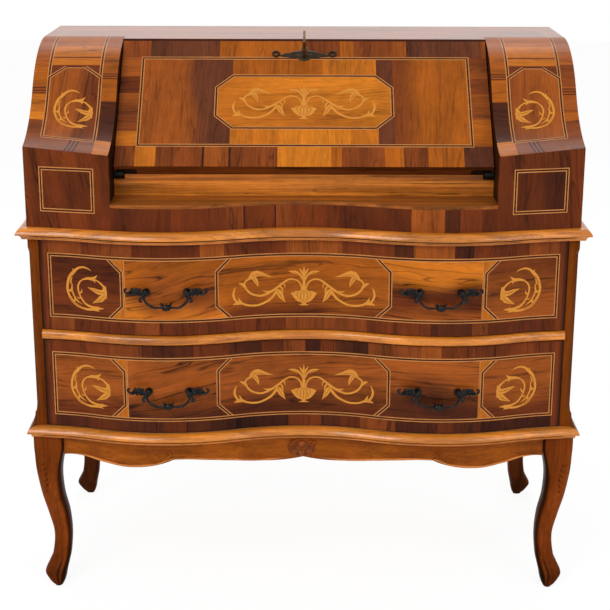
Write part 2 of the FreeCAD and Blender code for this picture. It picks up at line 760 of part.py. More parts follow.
def pilaster_end(x, start_y, start_z, kind):
    bend_y = flat_y - crown * math.sin(steep)
    bend_z = top - crown * (1 - math.cos(steep))
    chord = math.hypot(bend_y - start_y, bend_z - start_z)
    first = 2 * math.atan2(bend_z - start_z, bend_y - start_y) - steep
    hollow = chord / (2 * math.sin((steep - first) / 2))
    centre_y = start_y - hollow * math.sin(first)
    centre_z = start_z + hollow * math.cos(first)
    panel = number("slope_panel")

    def low_spot(angle, depth):
        reach = hollow + depth
        return FreeCAD.Vector(x, centre_y + reach * math.sin(angle), centre_z - reach * math.cos(angle))

    def high_spot(angle, depth):
        reach = crown - depth
        return FreeCAD.Vector(x, flat_y - reach * math.sin(angle), top - crown + reach * math.cos(angle))

    def low_arc(begin, finish, depth):
        spots = [low_spot(a, depth) for a in (begin, (begin + finish) / 2, finish)]
        return Part.Arc(*spots).toShape()

    def high_arc(begin, finish, depth):
        spots = [high_spot(a, depth) for a in (begin, (begin + finish) / 2, finish)]
        return Part.Arc(*spots).toShape()

    under = math.asin((start_y - centre_y) / (hollow + panel))
    behind_y = start_y + number("flank_board")
    behind = math.asin((behind_y - centre_y) / (hollow + panel))
    toe = FreeCAD.Vector(x, start_y, floor_z)
    heel = FreeCAD.Vector(x, behind_y, floor_z)
    if kind == "slope":
        edges = [low_arc(first, steep, 0), high_arc(steep, 0, 0),
                 Part.makeLine(high_spot(0, 0), high_spot(0, panel)),
                 high_arc(0, steep, panel), low_arc(steep, behind, panel),
                 low_arc(behind, under, panel),
                 Part.makeLine(low_spot(under, panel), low_spot(first, 0))]
    elif kind == "flank":
        edges = [Part.makeLine(toe, low_spot(under, panel)), low_arc(under, behind, panel),
                 Part.makeLine(low_spot(behind, panel), heel), Part.makeLine(heel, toe)]
    else:
        shoulder = FreeCAD.Vector(x, flat_y, top_under)
        rear_top = FreeCAD.Vector(x, back, top_under)
        rear_foot = FreeCAD.Vector(x, back, floor_z)
        edges = [Part.makeLine(heel, low_spot(behind, panel)), low_arc(behind, steep, panel),
                 high_arc(steep, 0, panel), Part.makeLine(high_spot(0, panel), shoulder),
                 Part.makeLine(shoulder, rear_top), Part.makeLine(rear_top, rear_foot),
                 Part.makeLine(rear_foot, heel)]
    return Part.Wire(edges)


def pilaster(kind):
    outer = pilaster_end(-half_case, front, number("flank_outer_height"), kind)
    inner = pilaster_end(-half_cheek, front_y(half_cheek), number("flank_inner_height"), kind)
    return lofted([outer, inner], True)


def sliced(solid, start, end, rear):
    keep = Part.makeBox(end - start, rear - front + case_depth, 2 * top,
                        FreeCAD.Vector(start, front - case_depth, 0))
    return solid.common(keep)


slope_panels = pair("slope_panels", shaped("slope panel left", pilaster("slope")))
flank_panels = pair("flank_panels", shaped("flank panel left", pilaster("flank")))
core = pilaster("core")
upper_side_panels = pair("upper_side_panels", shaped("upper side left", sliced(
    core, -half_case, -half_case + number("upper_side"), back)))
cheek_blank = shaped("cheek blank", sliced(
    core, -half_cheek - number("cheek_board"), -half_cheek, number("inside_back")))
bush_radius = "pivot_radius + pivot_clearance + bush_wall"
bush_start = ("-half_cheek - pivot_reach - knuckle_gap", "hinge_line", "bed_height")
bush_length = "pivot_reach + knuckle_gap"
inner_cheeks = pair("inner_cheeks", cut(
    "inner cheek left", cheek_blank,
    board("bed housing", ("-half_cheek - bed_dado", "-half_cheek + 1"), ("rail_back", "back"),
          ("bed_height - bed_board", "bed_height")),
    rod("bush hole", bush_radius, "x", bush_start, bush_length + " + 1")))
pivot_bushes = pair("pivot_bushes", cut(
    "pivot bush left", rod("bush blank", bush_radius, "x", bush_start, bush_length),
    rod("bush bore", "pivot_radius + pivot_clearance", "x", bush_start, bush_length)))
upper_back_panel = board(
    "upper_back_panel", ("-half_case + upper_side", "half_case - upper_side"),
    ("inside_back", "back"), ("upper_floor", "top_under"))

# The top: full width behind, a narrower tongue in front bevelled square to the closed lid.
body = add("PartDesign::Body", "top blank")


def bevel_y(level):
    out = f"(({level} - bed_height - bevel * sin(lid_slope)) / cos(lid_slope))"
    return f"hinge_line + bevel * cos(lid_slope) - {out} * sin(lid_slope)"


padded(body, outline(body, "YZ_Plane", [
    ("crown_line", "top_under"), ("back", "top_under"),
    ("back", "top_height"), ("crown_line", "top_height")]), "case_width")
padded(body, outline(body, "YZ_Plane", [
    (bevel_y("top_under"), "top_under"), ("back", "top_under"),
    ("back", "top_height"), (bevel_y("top_height"), "top_height")]), "2 * half_cheek")
well_x = ("-bolt_width / 2 - 1", "bolt_width / 2 + 1")
well_out = ("bolt_level - 1", "bolt_level + bolt_board + 1")
strike_x = ("-strike_width / 2", "strike_width / 2")
strike_out = ("bolt_level - 3", "bolt_level - 3 + strike_height")
top_board = cut(
    "top_board", body,
    lid_block("strike recess", strike_x, ("bevel - 1", "bevel + strike_board"), strike_out),
    lid_block("bolt well", well_x, ("bevel - 1", "bevel + bolt_throw + 3"), well_out))
strike_plate = cut(
    "strike_plate",
    lid_block("strike blank", strike_x, ("bevel", "bevel + strike_board"), strike_out),
    lid_block("strike slot", well_x, ("bevel - 1", "bevel + strike_board + 1"), well_out))

# Frieze, ledge, front rail and writing bed.
ledge_under = number("ledge_height") - number("ledge_board")
frieze_panel = shaped("frieze_panel", curved_board(
    half_cheek, 0, (floor_z, ledge_under), inner=-number("frieze_board")))
ledge_board = shaped("ledge_board", curved_board(
    half_cheek, 0, (ledge_under, number("ledge_height")), behind=number("rail_back")))
notch_x = "half_cheek - knuckle_gap - knuckle_length - notch_margin"
notch_z = "bed_height - knuckle_radius - notch_margin"
body = add("PartDesign::Body", "bed_front_rail")
padded(body, outline(body, "XZ_Plane", [
    ("-half_cheek", "ledge_height"), ("half_cheek", "ledge_height"),
    ("half_cheek", notch_z), (notch_x, notch_z), (notch_x, "bed_height"),
    (f"-({notch_x})", "bed_height"), (f"-({notch_x})", notch_z), ("-half_cheek", notch_z),
], "-(rail_back)"), "rail_board", False)
bed_front_rail = body
writing_bed = board(
    "writing_bed", ("-half_cheek - bed_dado", "half_cheek + bed_dado"),
    ("rail_back", "inside_back"), ("bed_height - bed_board", "bed_height"))

# Lid with its pivots, lock, key and escutcheon.
hole = "key_shank + key_play"
slot_x = ("-bit_board / 2 - key_play", "bit_board / 2 + key_play")
slot_up = ("key_up - key_bit - key_play", "key_up")
lock_x = ("-lock_width / 2", "lock_width / 2")
notch_reach = "knuckle_radius + notch_margin"
leaf_start = "half_cheek - knuckle_gap - leaf_length"
leaf_end = "half_cheek - knuckle_gap - 4"
lid_waste = [
    lid_block("lock mortise", lock_x, ("lid_length - lock_height", "lid_length + 1"), ("-1", "lock_depth")),
    lid_bore("keyhole", hole, "key_up", ("lock_depth - 1", "lid_board + 1")),
    lid_block("keyhole slot", slot_x, slot_up, ("lock_depth - 1", "lid_board + 1")),
]
for name, turn in (("left", "-({1})|-({0})"), ("right", "{0}|{1}")):
    notch = tuple(turn.format(notch_x, "half_cheek + 1").split("|"))
    leaf = tuple(turn.format(leaf_start, leaf_end).split("|"))
    lid_waste.append(lid_block(f"knuckle notch {name}", notch, ("-1", notch_reach), ("-1", notch_reach)))
    lid_waste.append(lid_block(f"leaf recess {name}", leaf, ("-1", "leaf_board"), ("-1", "leaf_width")))
lid_panel = cut("lid_panel", lid_block(
    "lid blank", ("-half_cheek + lid_play", "half_cheek - lid_play"), ("0", "lid_length"),
    ("0", "lid_board")), *lid_waste)

knuckle_x = "-half_cheek + knuckle_gap"
lid_pivots = pair("lid_pivots", fuse(
    "lid pivot left",
    rod("knuckle", "knuckle_radius", "x", (knuckle_x, "hinge_line", "bed_height"), "knuckle_length"),
    rod("pivot pin", "pivot_radius", "x", (knuckle_x + " - pivot_reach", "hinge_line", "bed_height"),
        "pivot_reach + 2"),
    lid_block("pivot leaf", (f"-({leaf_end})", f"-({leaf_start})"), ("0", "leaf_board"),
              ("0", "leaf_width"))))

bolt_x = ("-bolt_width / 2", "bolt_width / 2")
play_x = ("-bolt_width / 2 - bolt_play", "bolt_width / 2 + bolt_play")
lock_case = cut(
    "lock_case",
    lid_block("lock blank", lock_x, ("lid_length - lock_height", "lid_length"), ("0", "lock_depth")),
    lid_bore("ward room", "ward_radius", "key_up", ("2", "lock_depth - 2")),
    lid_bore("lock keyhole", hole, "key_up", ("lock_depth - 3", "lock_depth + 1")),
    lid_block("lock slot", slot_x, slot_up, ("lock_depth - 3", "lock_depth + 1")),
    lid_block("bolt channel", play_x, ("lid_length - bolt_length - 1.5", "lid_length + 1"),
              ("bolt_level - bolt_play", "bolt_level + bolt_board + bolt_play")))
lock_bolt = lid_block(
    "lock_bolt", bolt_x, ("lid_length - bolt_length", "lid_length - 0.5"),
    ("bolt_level", "bolt_level + bolt_board"))

bow_middle = "lid_board + key_reach - bow_radius"
collar = "lid_board + key_reach / 3"
body = add("PartDesign::Body", "key")
turned(body, outline(body, "XZ_Plane", [
    ("0", "key_tip"), ("key_shank", "key_tip"), ("key_shank", collar), ("collar_radius", collar),
    ("collar_radius", collar + " + 3"), ("key_shank", collar + " + 3"),
    ("key_shank", bow_middle + " - bow_radius + 2"), ("0", bow_middle + " - bow_radius + 2")]))
padded(body, ring(body, "YZ_Plane", ("0", bow_middle), ("bow_radius", "bow_bore")), "bow_board")
padded(body, outline(body, "YZ_Plane", [
    ("-key_bit", "key_tip"), ("0", "key_tip"), ("0", "key_tip + bit_height"),
    ("-key_bit", "key_tip + bit_height")]), "bit_board")
lay_on_lid(body, "0", "key_up", "0")
key = body


def escutcheon_blank():
    half = number("escutcheon_width / 2")
    rise = number("escutcheon_height / 2")
    left = FreeCAD.Vector(-half, 0, 0)
    right = FreeCAD.Vector(half, 0, 0)
    high = Part.Arc(left, FreeCAD.Vector(0, rise, 0), right).toShape()
    low = Part.Arc(right, FreeCAD.Vector(0, -rise, 0), left).toShape()
    return Part.Face(Part.Wire([high, low])).extrude(up * number("escutcheon_board"))


plate = shaped("escutcheon blank", escutcheon_blank())
lay_on_lid(plate, "0", "key_up", "lid_board")
plate_depth = ("lid_board - 1", "lid_board + escutcheon_board + 1")
key_escutcheon = cut(
    "key_escutcheon", plate, lid_bore("escutcheon hole", hole, "key_up", plate_depth),
    lid_block("escutcheon slot", slot_x, slot_up, plate_depth))

# Large drawers: curved fronts, grooved sides, backs, bottoms and bail handles.
handle_offset = number("handle_offset")
handle_span = number("handle_span")
axis_y = front_y(handle_offset) - number("handle_standoff")
sideways = FreeCAD.Vector(1, 0, 0)
forward = FreeCAD.Vector(0, -1, 0)


def handle_posts(front_solid, z):
    pieces = []
    for x in [side * handle_offset + end * handle_span / 2 for side in (-1, 1) for end in (-1, 1)]:
        face = front_y(x)
        rear = front_y(x, -number("drawer_front"))
        foot = Part.makeCylinder(number("post_foot"), number("post_foot_height") + 4,
                                 FreeCAD.Vector(x, face + 4, z), forward)
        stem = Part.makeCylinder(number("post_stem"), face + 4 - axis_y,
                                 FreeCAD.Vector(x, face + 4, z), forward)
        eye = Part.makeCylinder(number("eye_radius"), number("eye_length"),
                                FreeCAD.Vector(x - number("eye_length") / 2, axis_y, z), sideways)
        bore = Part.makeCylinder(number("pin_radius + pin_clearance"), 30,
                                 FreeCAD.Vector(x - 15, axis_y, z), sideways)
        shank = Part.makeCylinder(number("shank_radius"), rear - face + number("nut_height") + 3,
                                  FreeCAD.Vector(x, face - 1, z), -forward)
        nut = Part.makeCylinder(number("nut_radius"), number("nut_height") + 3,
                                FreeCAD.Vector(x, rear - 3, z), -forward)
        pieces.append(foot.fuse(stem).cut(front_solid).fuse(eye).cut(bore).fuse(shank).removeSplitter())
        pieces.append(nut.cut(front_solid).cut(shank))
    return Part.makeCompound(pieces)


def bail_shape(middle, z):
    radius = number("bail_radius")
    rod_radius = number("bail_rod")
    centre = FreeCAD.Vector(middle, axis_y, z)
    start = centre + sideways * -radius
    ring_face = Part.Face(Part.Wire(Part.makeCircle(rod_radius, start, up)))
    bow = ring_face.revolve(centre, forward, 180)
    knuckle = number("bail_knuckle")
    pieces = [Part.makeSphere(number("bail_rosette"), centre - up * radius, sideways)]
    for side in (-1, 1):
        way = sideways * side
        root = centre + way * number("leaf_root")
        tip = centre + way * number("leaf_reach") + up * number("leaf_rise")
        pieces.append(Part.makeCylinder(
            knuckle, 2 * knuckle, centre + way * (radius - knuckle), way))
        pieces.append(Part.makeCylinder(
            number("pin_radius"), number("leaf_root") - radius + 3, centre + way * radius, way))
        pieces.append(Part.makeCone(
            number("leaf_thickness"), 1, (tip - root).Length, root, tip - root))
    return bow.multiFuse(pieces).removeSplitter()


drawers = {
    "upper": ("divider_height + divider_board", "waist_height"),
    "lower": ("case_floor", "divider_height"),
}
drawer_nodes = []
for name, (low, high) in drawers.items():
    pivot_z = f"(({low}) + ({high})) / 2 - handle_drop"
    z = number(pivot_z)
    span = (number(low + " + drawer_gap"), number(high + " - drawer_gap"))
    blank = curved_board(number("half_drawer"), 0, span, inner=-number("drawer_front"))
    holes = []
    for side in (-1, 1):
        for end in (-1, 1):
            spot = (f"{side} * handle_offset + {end} * handle_span / 2",
                    "front - case_depth / 2", pivot_z)
            holes.append(rod(f"{name} shank hole", "shank_radius", "y", spot, "case_depth"))
    front_piece = cut(f"{name}_drawer_front", shaped(f"{name} drawer front blank", blank), *holes)
    run = low + " + box_lift"
    groove = run + " + floor_lift"
    wall_top = f"({high}) - wall_drop"
    side_piece = cut(
        f"{name} drawer side",
        board(f"{name} drawer side blank", ("-half_box", "-(box_inside)"), ("front", "box_back"),
              (run, wall_top)),
        board(f"{name} drawer groove", ("-(box_inside) - floor_groove", "-(box_inside) + 1"),
              ("front", "box_back + 1"), (groove, groove + " + drawer_floor")),
        shaped(f"{name} drawer front waste", curved_board(
            half_case, number("post_depth"), (number(low), number(high)),
            inner=-number("drawer_front"))))
    rear_piece = board(
        f"{name}_drawer_back", ("-(box_inside)", "box_inside"), ("box_back - drawer_side", "box_back"),
        (groove + " + drawer_floor", wall_top))
    floor_piece = shaped(f"{name}_drawer_bottom", curved_board(
        number("box_inside + floor_groove"), -number("drawer_front"),
        (number(groove), number(groove + " + drawer_floor")), behind=number("box_back")))
    drawer_nodes += [
        front_piece, pair(f"{name}_drawer_sides", side_piece), rear_piece, floor_piece,
        shaped(f"{name}_handle_posts", handle_posts(blank, z)),
        shaped(f"{name}_left_bail", bail_shape(-handle_offset, z)),
        shaped(f"{name}_right_bail", bail_shape(handle_offset, z))]

# Shelf, dividers and two small drawers inside the desk.
inner_shelf = board(
    "inner_shelf", ("-half_cheek", "half_cheek"), ("shelf_front", "inside_back"),
    ("shelf_height", "shelf_height + shelf_board"))
inner_dividers = pair("inner_dividers", board(
    "inner divider left", ("-bay_offset - shelf_board", "-bay_offset"),
    ("shelf_front", "inside_back"), ("bed_height", "shelf_height")))
bay = ("-half_cheek + inner_gap", "-bay_offset - shelf_board - inner_gap")
face_y = "shelf_front + inner_gap"
front_z = ("bed_height + inner_gap", "shelf_height - inner_gap")
knob_x = f"(({bay[0]}) + ({bay[1]})) / 2"
knob_z = "(bed_height + shelf_height) / 2"
box_y = (face_y + " + inner_front", "inside_back - inner_clear")
box_z = ("bed_height + box_lift", "shelf_height - inner_gap - inner_drop")
box_x = (bay[0] + " + box_lift", bay[1] + " - box_lift")
wall_z = (box_z[0] + " + inner_wall", box_z[1])
inner_front = cut(
    "left_inner_front",
    board("inner front blank", bay, (face_y, box_y[0]), front_z),
    rod("knob hole", "knob_stem", "y", (knob_x, face_y + " - 1", knob_z), "0.8 * inner_front + 1"))
inner_box = group(
    "left_inner_box",
    board("inner box bottom", box_x, box_y, (box_z[0], wall_z[0])),
    board("inner box outer side", (box_x[0], box_x[0] + " + inner_wall"), box_y, wall_z),
    board("inner box inner side", (box_x[1] + " - inner_wall", box_x[1]), box_y, wall_z),
    board("inner box back", (box_x[0] + " + inner_wall", box_x[1] + " - inner_wall"),
          (box_y[1] + " - inner_wall", box_y[1]), wall_z))
body = add("PartDesign::Body", "left_inner_knob")
turned(body, outline(body, "XY_Plane", [
    ("0", "0.8 * inner_front"), ("knob_stem", "0.8 * inner_front"), ("knob_stem", "0"),
    ("0.75 * knob_radius", "0"), ("0.5 * knob_radius", "-0.35 * knob_length"),
    ("knob_radius", "-0.65 * knob_length"), ("0.85 * knob_radius", "-0.9 * knob_length"),
    ("0.4 * knob_radius", "-knob_length"), ("0", "-knob_length")]))
for axis, place in (("x", knob_x), ("y", face_y), ("z", knob_z)):
    bind(body, f"Placement.Base.{axis}", place)
inner_nodes = [inner_front, inner_box, body]
inner_nodes += [mirrored(item.Label.replace("left", "right"), item) for item in list(inner_nodes)]

nodes = [
    front_left_leg, front_right_leg, rear_left_leg, rear_right_leg, glue_blocks,
    front_apron, side_aprons, rear_rail, bottom_board, base_moulding_front, base_moulding_sides,
    front_posts, lower_side_panels, lower_back_panel, drawer_divider, drawer_runners,
    waist_board, waist_moulding_front, waist_moulding_sides, flank_panels, upper_side_panels,
    inner_cheeks, slope_panels, upper_back_panel, top_board, strike_plate, frieze_panel,
    ledge_board, bed_front_rail, writing_bed, inner_shelf, inner_dividers, pivot_bushes,
    lid_panel, lid_pivots, lock_case, key_escutcheon, key, lock_bolt,
] + drawer_nodes + inner_nodes
doc.recompute()

for item in doc.Objects:
    if "Invalid" in item.State or "Error" in item.State:
        raise RuntimeError(f"{item.Label} did not build: {item.State}")
for item in nodes:
    if item.Shape.isNull() or not item.Shape.isValid():
        raise RuntimeError(f"{item.Label} has no sound shape")

os.makedirs("parts", exist_ok=True)
for item in nodes:
    item.Shape.exportStep(f"parts/{item.Label}.step")
print(len(nodes), "pieces written")
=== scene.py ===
import math
import bmesh
import bpy
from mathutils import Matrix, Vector


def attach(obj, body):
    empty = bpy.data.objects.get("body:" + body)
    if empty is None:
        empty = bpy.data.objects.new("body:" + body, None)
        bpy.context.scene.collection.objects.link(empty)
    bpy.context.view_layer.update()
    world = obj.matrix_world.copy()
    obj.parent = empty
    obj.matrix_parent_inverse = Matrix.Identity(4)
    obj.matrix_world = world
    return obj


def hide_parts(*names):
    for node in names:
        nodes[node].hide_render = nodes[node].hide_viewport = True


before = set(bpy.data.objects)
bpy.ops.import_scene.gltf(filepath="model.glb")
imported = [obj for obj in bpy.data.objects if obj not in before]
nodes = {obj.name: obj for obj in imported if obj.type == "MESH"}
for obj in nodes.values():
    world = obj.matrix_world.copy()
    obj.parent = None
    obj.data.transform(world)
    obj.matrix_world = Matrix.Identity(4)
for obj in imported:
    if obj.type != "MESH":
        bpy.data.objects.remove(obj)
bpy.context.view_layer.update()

# The desk's own surfaces, in metres.
desk = {
    "front": -0.1874, "half": 0.4575, "lidHalf": 0.3155, "crest": 0.235, "bulge": 0.0375,
    "waist": 0.652, "ledge": 0.690, "top": 0.933, "back": 0.2426,
}
lid = {"y": -0.1479, "z": 0.732, "slope": math.radians(43), "board": 0.022, "length": 0.27113, "half": 0.3135}
crown = {"radius": 0.185, "turn": math.radians(52.8), "flat": 0.0726, "outer": 0.785, "inner": 0.776,
         "lowRun": 0.153, "highRun": 0.1705}
serpent = ((desk["crest"] / 2) ** 2 + (desk["bulge"] / 2) ** 2) / desk["bulge"]
mm = 0.001


def frontY(x, out=0.0):
    x, crest, front = abs(x), desk["crest"], desk["front"]
    if x < crest / 2 * (1 - out / serpent):
        return front - serpent + math.sqrt((serpent - out) ** 2 - x * x)
    if x < crest / 2 * (3 + out / serpent):
        return front - desk["bulge"] + serpent - math.sqrt((serpent + out) ** 2 - (x - crest) ** 2)
    return front - serpent + math.sqrt((serpent - out) ** 2 - (x - 2 * crest) ** 2)


def onFront(x, z):
    return Vector((x, frontY(x), z))


def onLid(x, up):
    c, s = math.cos(lid["slope"]), math.sin(lid["slope"])
    return Vector((x, lid["y"] + up * c - lid["board"] * s, lid["z"] + up * s + lid["board"] * c))


def crownAt(turn):
    return (crown["flat"] - crown["radius"] * math.sin(turn),
            desk["top"] - crown["radius"] * (1 - math.cos(turn)))


def slopeEnd(y, z):
    bendY, bendZ = crownAt(crown["turn"])
    first = 2 * math.atan2(bendZ - z, bendY - y) - crown["turn"]
    hollow = math.hypot(bendY - y, bendZ - z) / (2 * math.sin((crown["turn"] - first) / 2))
    return first, hollow, y - hollow * math.sin(first), z + hollow * math.cos(first)


flankIn = frontY(desk["lidHalf"])
slopeEnds = slopeEnd(desk["front"], crown["outer"]), slopeEnd(flankIn, crown["inner"])


def inward(x):  # 0 at the desk's side, 1 beside the lid
    return (desk["half"] - abs(x)) / (desk["half"] - desk["lidHalf"])


def onSlope(x, v):  # v runs up the pilaster: hollow part, then the rounded crown
    if v > crown["lowRun"]:
        return Vector((x, *crownAt(crown["turn"] * (1 - (v - crown["lowRun"]) / crown["highRun"]))))
    spots = []
    for first, hollow, y, z in slopeEnds:
        a = first + v / crown["lowRun"] * (crown["turn"] - first)
        spots.append(Vector((0, y + hollow * math.sin(a), z - hollow * math.cos(a))))
    spot = spots[0].lerp(spots[1], inward(x))
    return Vector((x, spot.y, spot.z))


def onFlank(x, z):
    return Vector((x, desk["front"] + inward(x) * (flankIn - desk["front"]), z))


def onTop(x, y):
    return Vector((x, y, desk["top"]))


def lifted(surface, u, v, out):
    step = 0.0004
    across = surface(u + step, v) - surface(u - step, v)
    along = surface(u, v + step) - surface(u, v - step)
    return surface(u, v) + across.cross(along).normalized() * out


# Shader values: arithmetic on sockets makes its own nodes.
class Flow:
    def __init__(self, tree, socket=None):
        self.tree, self.socket = tree, socket

    def node(self, kind, settings=None, sockets=None, output=0):
        made = self.tree.nodes.new("ShaderNode" + kind)
        for key, value in (settings or {}).items():
            setattr(made, key, value)
        for key, value in (sockets or {}).items():
            self.feed(value, made.inputs[key])
        return Flow(self.tree, made.outputs[output])

    def feed(self, value, socket):
        if isinstance(value, Flow):
            self.tree.links.new(value.socket, socket)
        else:
            socket.default_value = value

    def other(self, output):  # another output of the same node
        return Flow(self.tree, self.socket.node.outputs[output])

    def sum(self, operation, first, second):
        return self.node("Math", {"operation": operation}, {0: first, 1: second})

    def __add__(self, other):
        return self.sum("ADD", self, other)

    def __radd__(self, other):
        return self.sum("ADD", other, self)

    def __sub__(self, other):
        return self.sum("SUBTRACT", self, other)

    def __rsub__(self, other):
        return self.sum("SUBTRACT", other, self)

    def __mul__(self, other):
        return self.sum("MULTIPLY", self, other)

    def __rmul__(self, other):
        return self.sum("MULTIPLY", other, self)

    def scaled(self, *sizes):
        return self.node("VectorMath", {"operation": "MULTIPLY"}, {0: self, 1: sizes})

    def noise(self, scale, detail=3.0, rough=0.55):
        return self.node("TexNoise", None, {
            "Vector": self, "Scale": scale, "Detail": detail, "Roughness": rough})

    def size(self):
        return self.node("Math", {"operation": "ABSOLUTE"}, {0: self})

    def within(self, low, high, start=0.0, end=1.0):
        return self.node("MapRange", {"clamp": True}, {
            "Value": self, "From Min": low, "From Max": high, "To Min": start, "To Max": end})

    def blend(self, first, second, kind="MIX", share=None):
        return self.node("Mix", {"data_type": "RGBA", "blend_type": kind}, {
            0: self if share is None else share, 6: first, 7: second}, 2)


def newFinish(name):
    finish = bpy.data.materials.new(name)
    finish.use_nodes = True
    tree = finish.node_tree
    return finish, Flow(tree), tree.nodes["Principled BSDF"]


def plug(start, shader, **links):
    for name, value in links.items():
        start.feed(value, shader.inputs[name.replace("_", " ")])


woods = {  # mean colours of the veneers, as light values; shadow is painted shade, not a veneer
    "ebony": (0.036, 0.008, 0.003), "sable": (0.052, 0.010, 0.003), "umber": (0.076, 0.016, 0.004),
    "cherry": (0.115, 0.022, 0.004), "plum": (0.125, 0.033, 0.012), "russet": (0.155, 0.030, 0.005),
    "chestnut": (0.215, 0.048, 0.008), "rust": (0.325, 0.077, 0.010), "amber": (0.39, 0.097, 0.007),
    "orange": (0.52, 0.145, 0.011), "honey": (0.62, 0.184, 0.013), "string": (0.56, 0.225, 0.065),
    "straw": (0.70, 0.275, 0.040), "scorched": (0.28, 0.075, 0.010), "shadow": (0.012, 0.004, 0.002),
}
figureLook = {  # each layer's scale along and across the grain, detail and roughness
    "warp": (7, 24, 2.0, 0.55), "broad": (2.6, 17, 3.0, 0.55), "ridge": (1.7, 46, 2.0, 0.5),
    "streak": (10, 330, 3.0, 0.6), "pores": (60, 1700, 2.0, 0.5), "mottle": (40, 55, 2.0, 0.55),
    "heart": (2.0, 30, 3.0, 0.55),
}
figureMix = {  # how far the layers bend and shade the wood
    "shift": (0.030, 0.022), "base": 1.02, "broad": 0.52, "ridge": 0.60, "streak": 0.85, "mottle": 0.45,
    "broadSpan": (0.30, 0.70, -1.0, 1.0), "ridgeSpan": (0.0, 0.020, 1.0, 0.0), "heartSpan": (0.40, 0.66),
    "lightSpan": (0.18, 1.7, 0.18, 1.7), "poreSpan": (0.32, 0.56, 0.80, 1.0), "innerShadeSpan": (-0.24, -0.05),
}
lacquer = {
    "coat": 0.06, "coatRoughness": 0.16, "specular": 0.06, "bareSpecular": 0.015, "rough": 0.28, "bump": 0.22,
    "bumpDeep": 0.0004, "poreBump": 0.7, "streakBump": 0.6, "poreRough": 0.10, "streakRough": 0.22,
}
sandLook = {  # inlay shaded in hot sand
    "along": (0.0, 0.22, 1.0, 0.0), "across": (-0.6, 1.0), "streak": (6, 5, 1), "cloud": 90.0,
    "cloudSpan": (0.48, 0.75), "scorched": 0.5, "clouded": 0.45, "streaked": 0.5, "deep": (0.52, 0.2),
    "rough": 0.26,
}
metalLook = {
    "cloud": (140.0, 4.0, 0.65), "specks": (900.0, 2.0, 0.6), "wornAndGlintSpan": (0.60, 0.80), "wornAndGlint": 0.8,
    "cloudSpan": (0.55, 0.80), "clouded": 0.25, "bump": 0.3, "bumpDeep": 0.0005, "speckBump": 0.4,
    "cloudRough": 0.2, "smoother": 0.08, "specular": 0.22,
}


def layer(spot, name, fine=1.0):
    along, across, detail, rough = figureLook[name]
    return spot.scaled(along, across * fine, across * fine).noise(1.0, detail, rough)


def walnutFigure(start, spot, figure, fine=1.0):  # spot runs along the grain in x and across it in y and z
    mix = figureMix
    warp = layer(spot, "warp") - 0.5
    shiftY, shiftZ = mix["shift"]
    shift = start.node("CombineXYZ", None, {"Y": warp * (shiftY / fine), "Z": warp * (shiftZ / fine)})
    bent = start.node("VectorMath", {"operation": "ADD"}, {0: spot, 1: shift})
    broad = layer(bent, "broad", fine).within(*mix["broadSpan"])
    ridge = (layer(bent, "ridge", fine) - 0.5).size().within(*mix["ridgeSpan"])
    streak = layer(bent, "streak") - 0.5
    pores = layer(spot, "pores")
    mottle = layer(spot, "mottle") - 0.5
    light = mix["base"] + figure * (mix["broad"] * broad - mix["ridge"] * ridge)
    light = light + mix["streak"] * streak + mix["mottle"] * mottle
    light = light.within(*mix["lightSpan"]) * pores.within(*mix["poreSpan"])
    return light, streak, pores


def shaded(start, colour, light):
    shade = start.node("CombineColor", None, {"Red": light, "Green": light, "Blue": light})
    return start.blend(colour, shade, "MULTIPLY", 1.0)


def lacquered(start, shader, colour, streak, pores, rough, coat=lacquer["coat"],
              specular=lacquer["specular"]):
    bump = start.node("Bump", None, {
        "Strength": lacquer["bump"], "Distance": lacquer["bumpDeep"],
        "Height": lacquer["poreBump"] * pores + lacquer["streakBump"] * streak})
    rough = rough + lacquer["streakRough"] * streak + lacquer["poreRough"] * pores
    plug(start, shader, Base_Color=colour, Roughness=rough, Normal=bump, Coat_Weight=coat,
         Coat_Roughness=lacquer["coatRoughness"], Specular_IOR_Level=specular)


def grainAndTint(start):
    return (start.node("UVMap", {"uv_map": "grain"}),
            start.node("Attribute", {"attribute_name": "tint"}))


def makeVeneer(name, coat, specular):
    finish, start, shader = newFinish(name)
    grain, tint = grainAndTint(start)
    light, streak, pores = walnutFigure(start, grain, tint.other("Alpha"))
    lacquered(start, shader, shaded(start, tint, light), streak, pores, lacquer["rough"], coat, specular)
    return finish


def makeTimber(axis, name, pale, dark, figure=0.6, rough=lacquer["rough"], coat=lacquer["coat"], fine=1.0,
               shades=(), innerShade=1.0):
    finish, start, shader = newFinish(name)

    def places(output):
        spot = start.node("TexCoord", output=output)
        return start.node("SeparateXYZ", None, {0: spot})

    x = places("Object")
    ways = {"X": x, "Y": x.other(1), "Z": x.other(2)}
    order = axis + "XYZ".replace(axis, "")
    turned = start.node("CombineXYZ", None, {way: ways[source] for way, source in zip("XYZ", order)})
    light, streak, pores = walnutFigure(start, turned, figure, fine)
    heart = layer(turned, "heart", fine).within(*figureMix["heartSpan"])
    for low, high, lowShade, highShade in shades:  # darker or paler with height
        light = light * ways["Z"].within(low, high, lowShade, highShade)
    if innerShade < 1:  # faces turned to the middle of the desk get painted shade
        light = light * (places("Normal") * x).within(*figureMix["innerShadeSpan"], innerShade, 1.0)
    colour = shaded(start, heart.blend((*pale, 1), (*dark, 1)), light)
    specular = lacquer["specular" if coat else "bareSpecular"]
    lacquered(start, shader, colour, streak, pores, rough, coat, specular)
    return finish


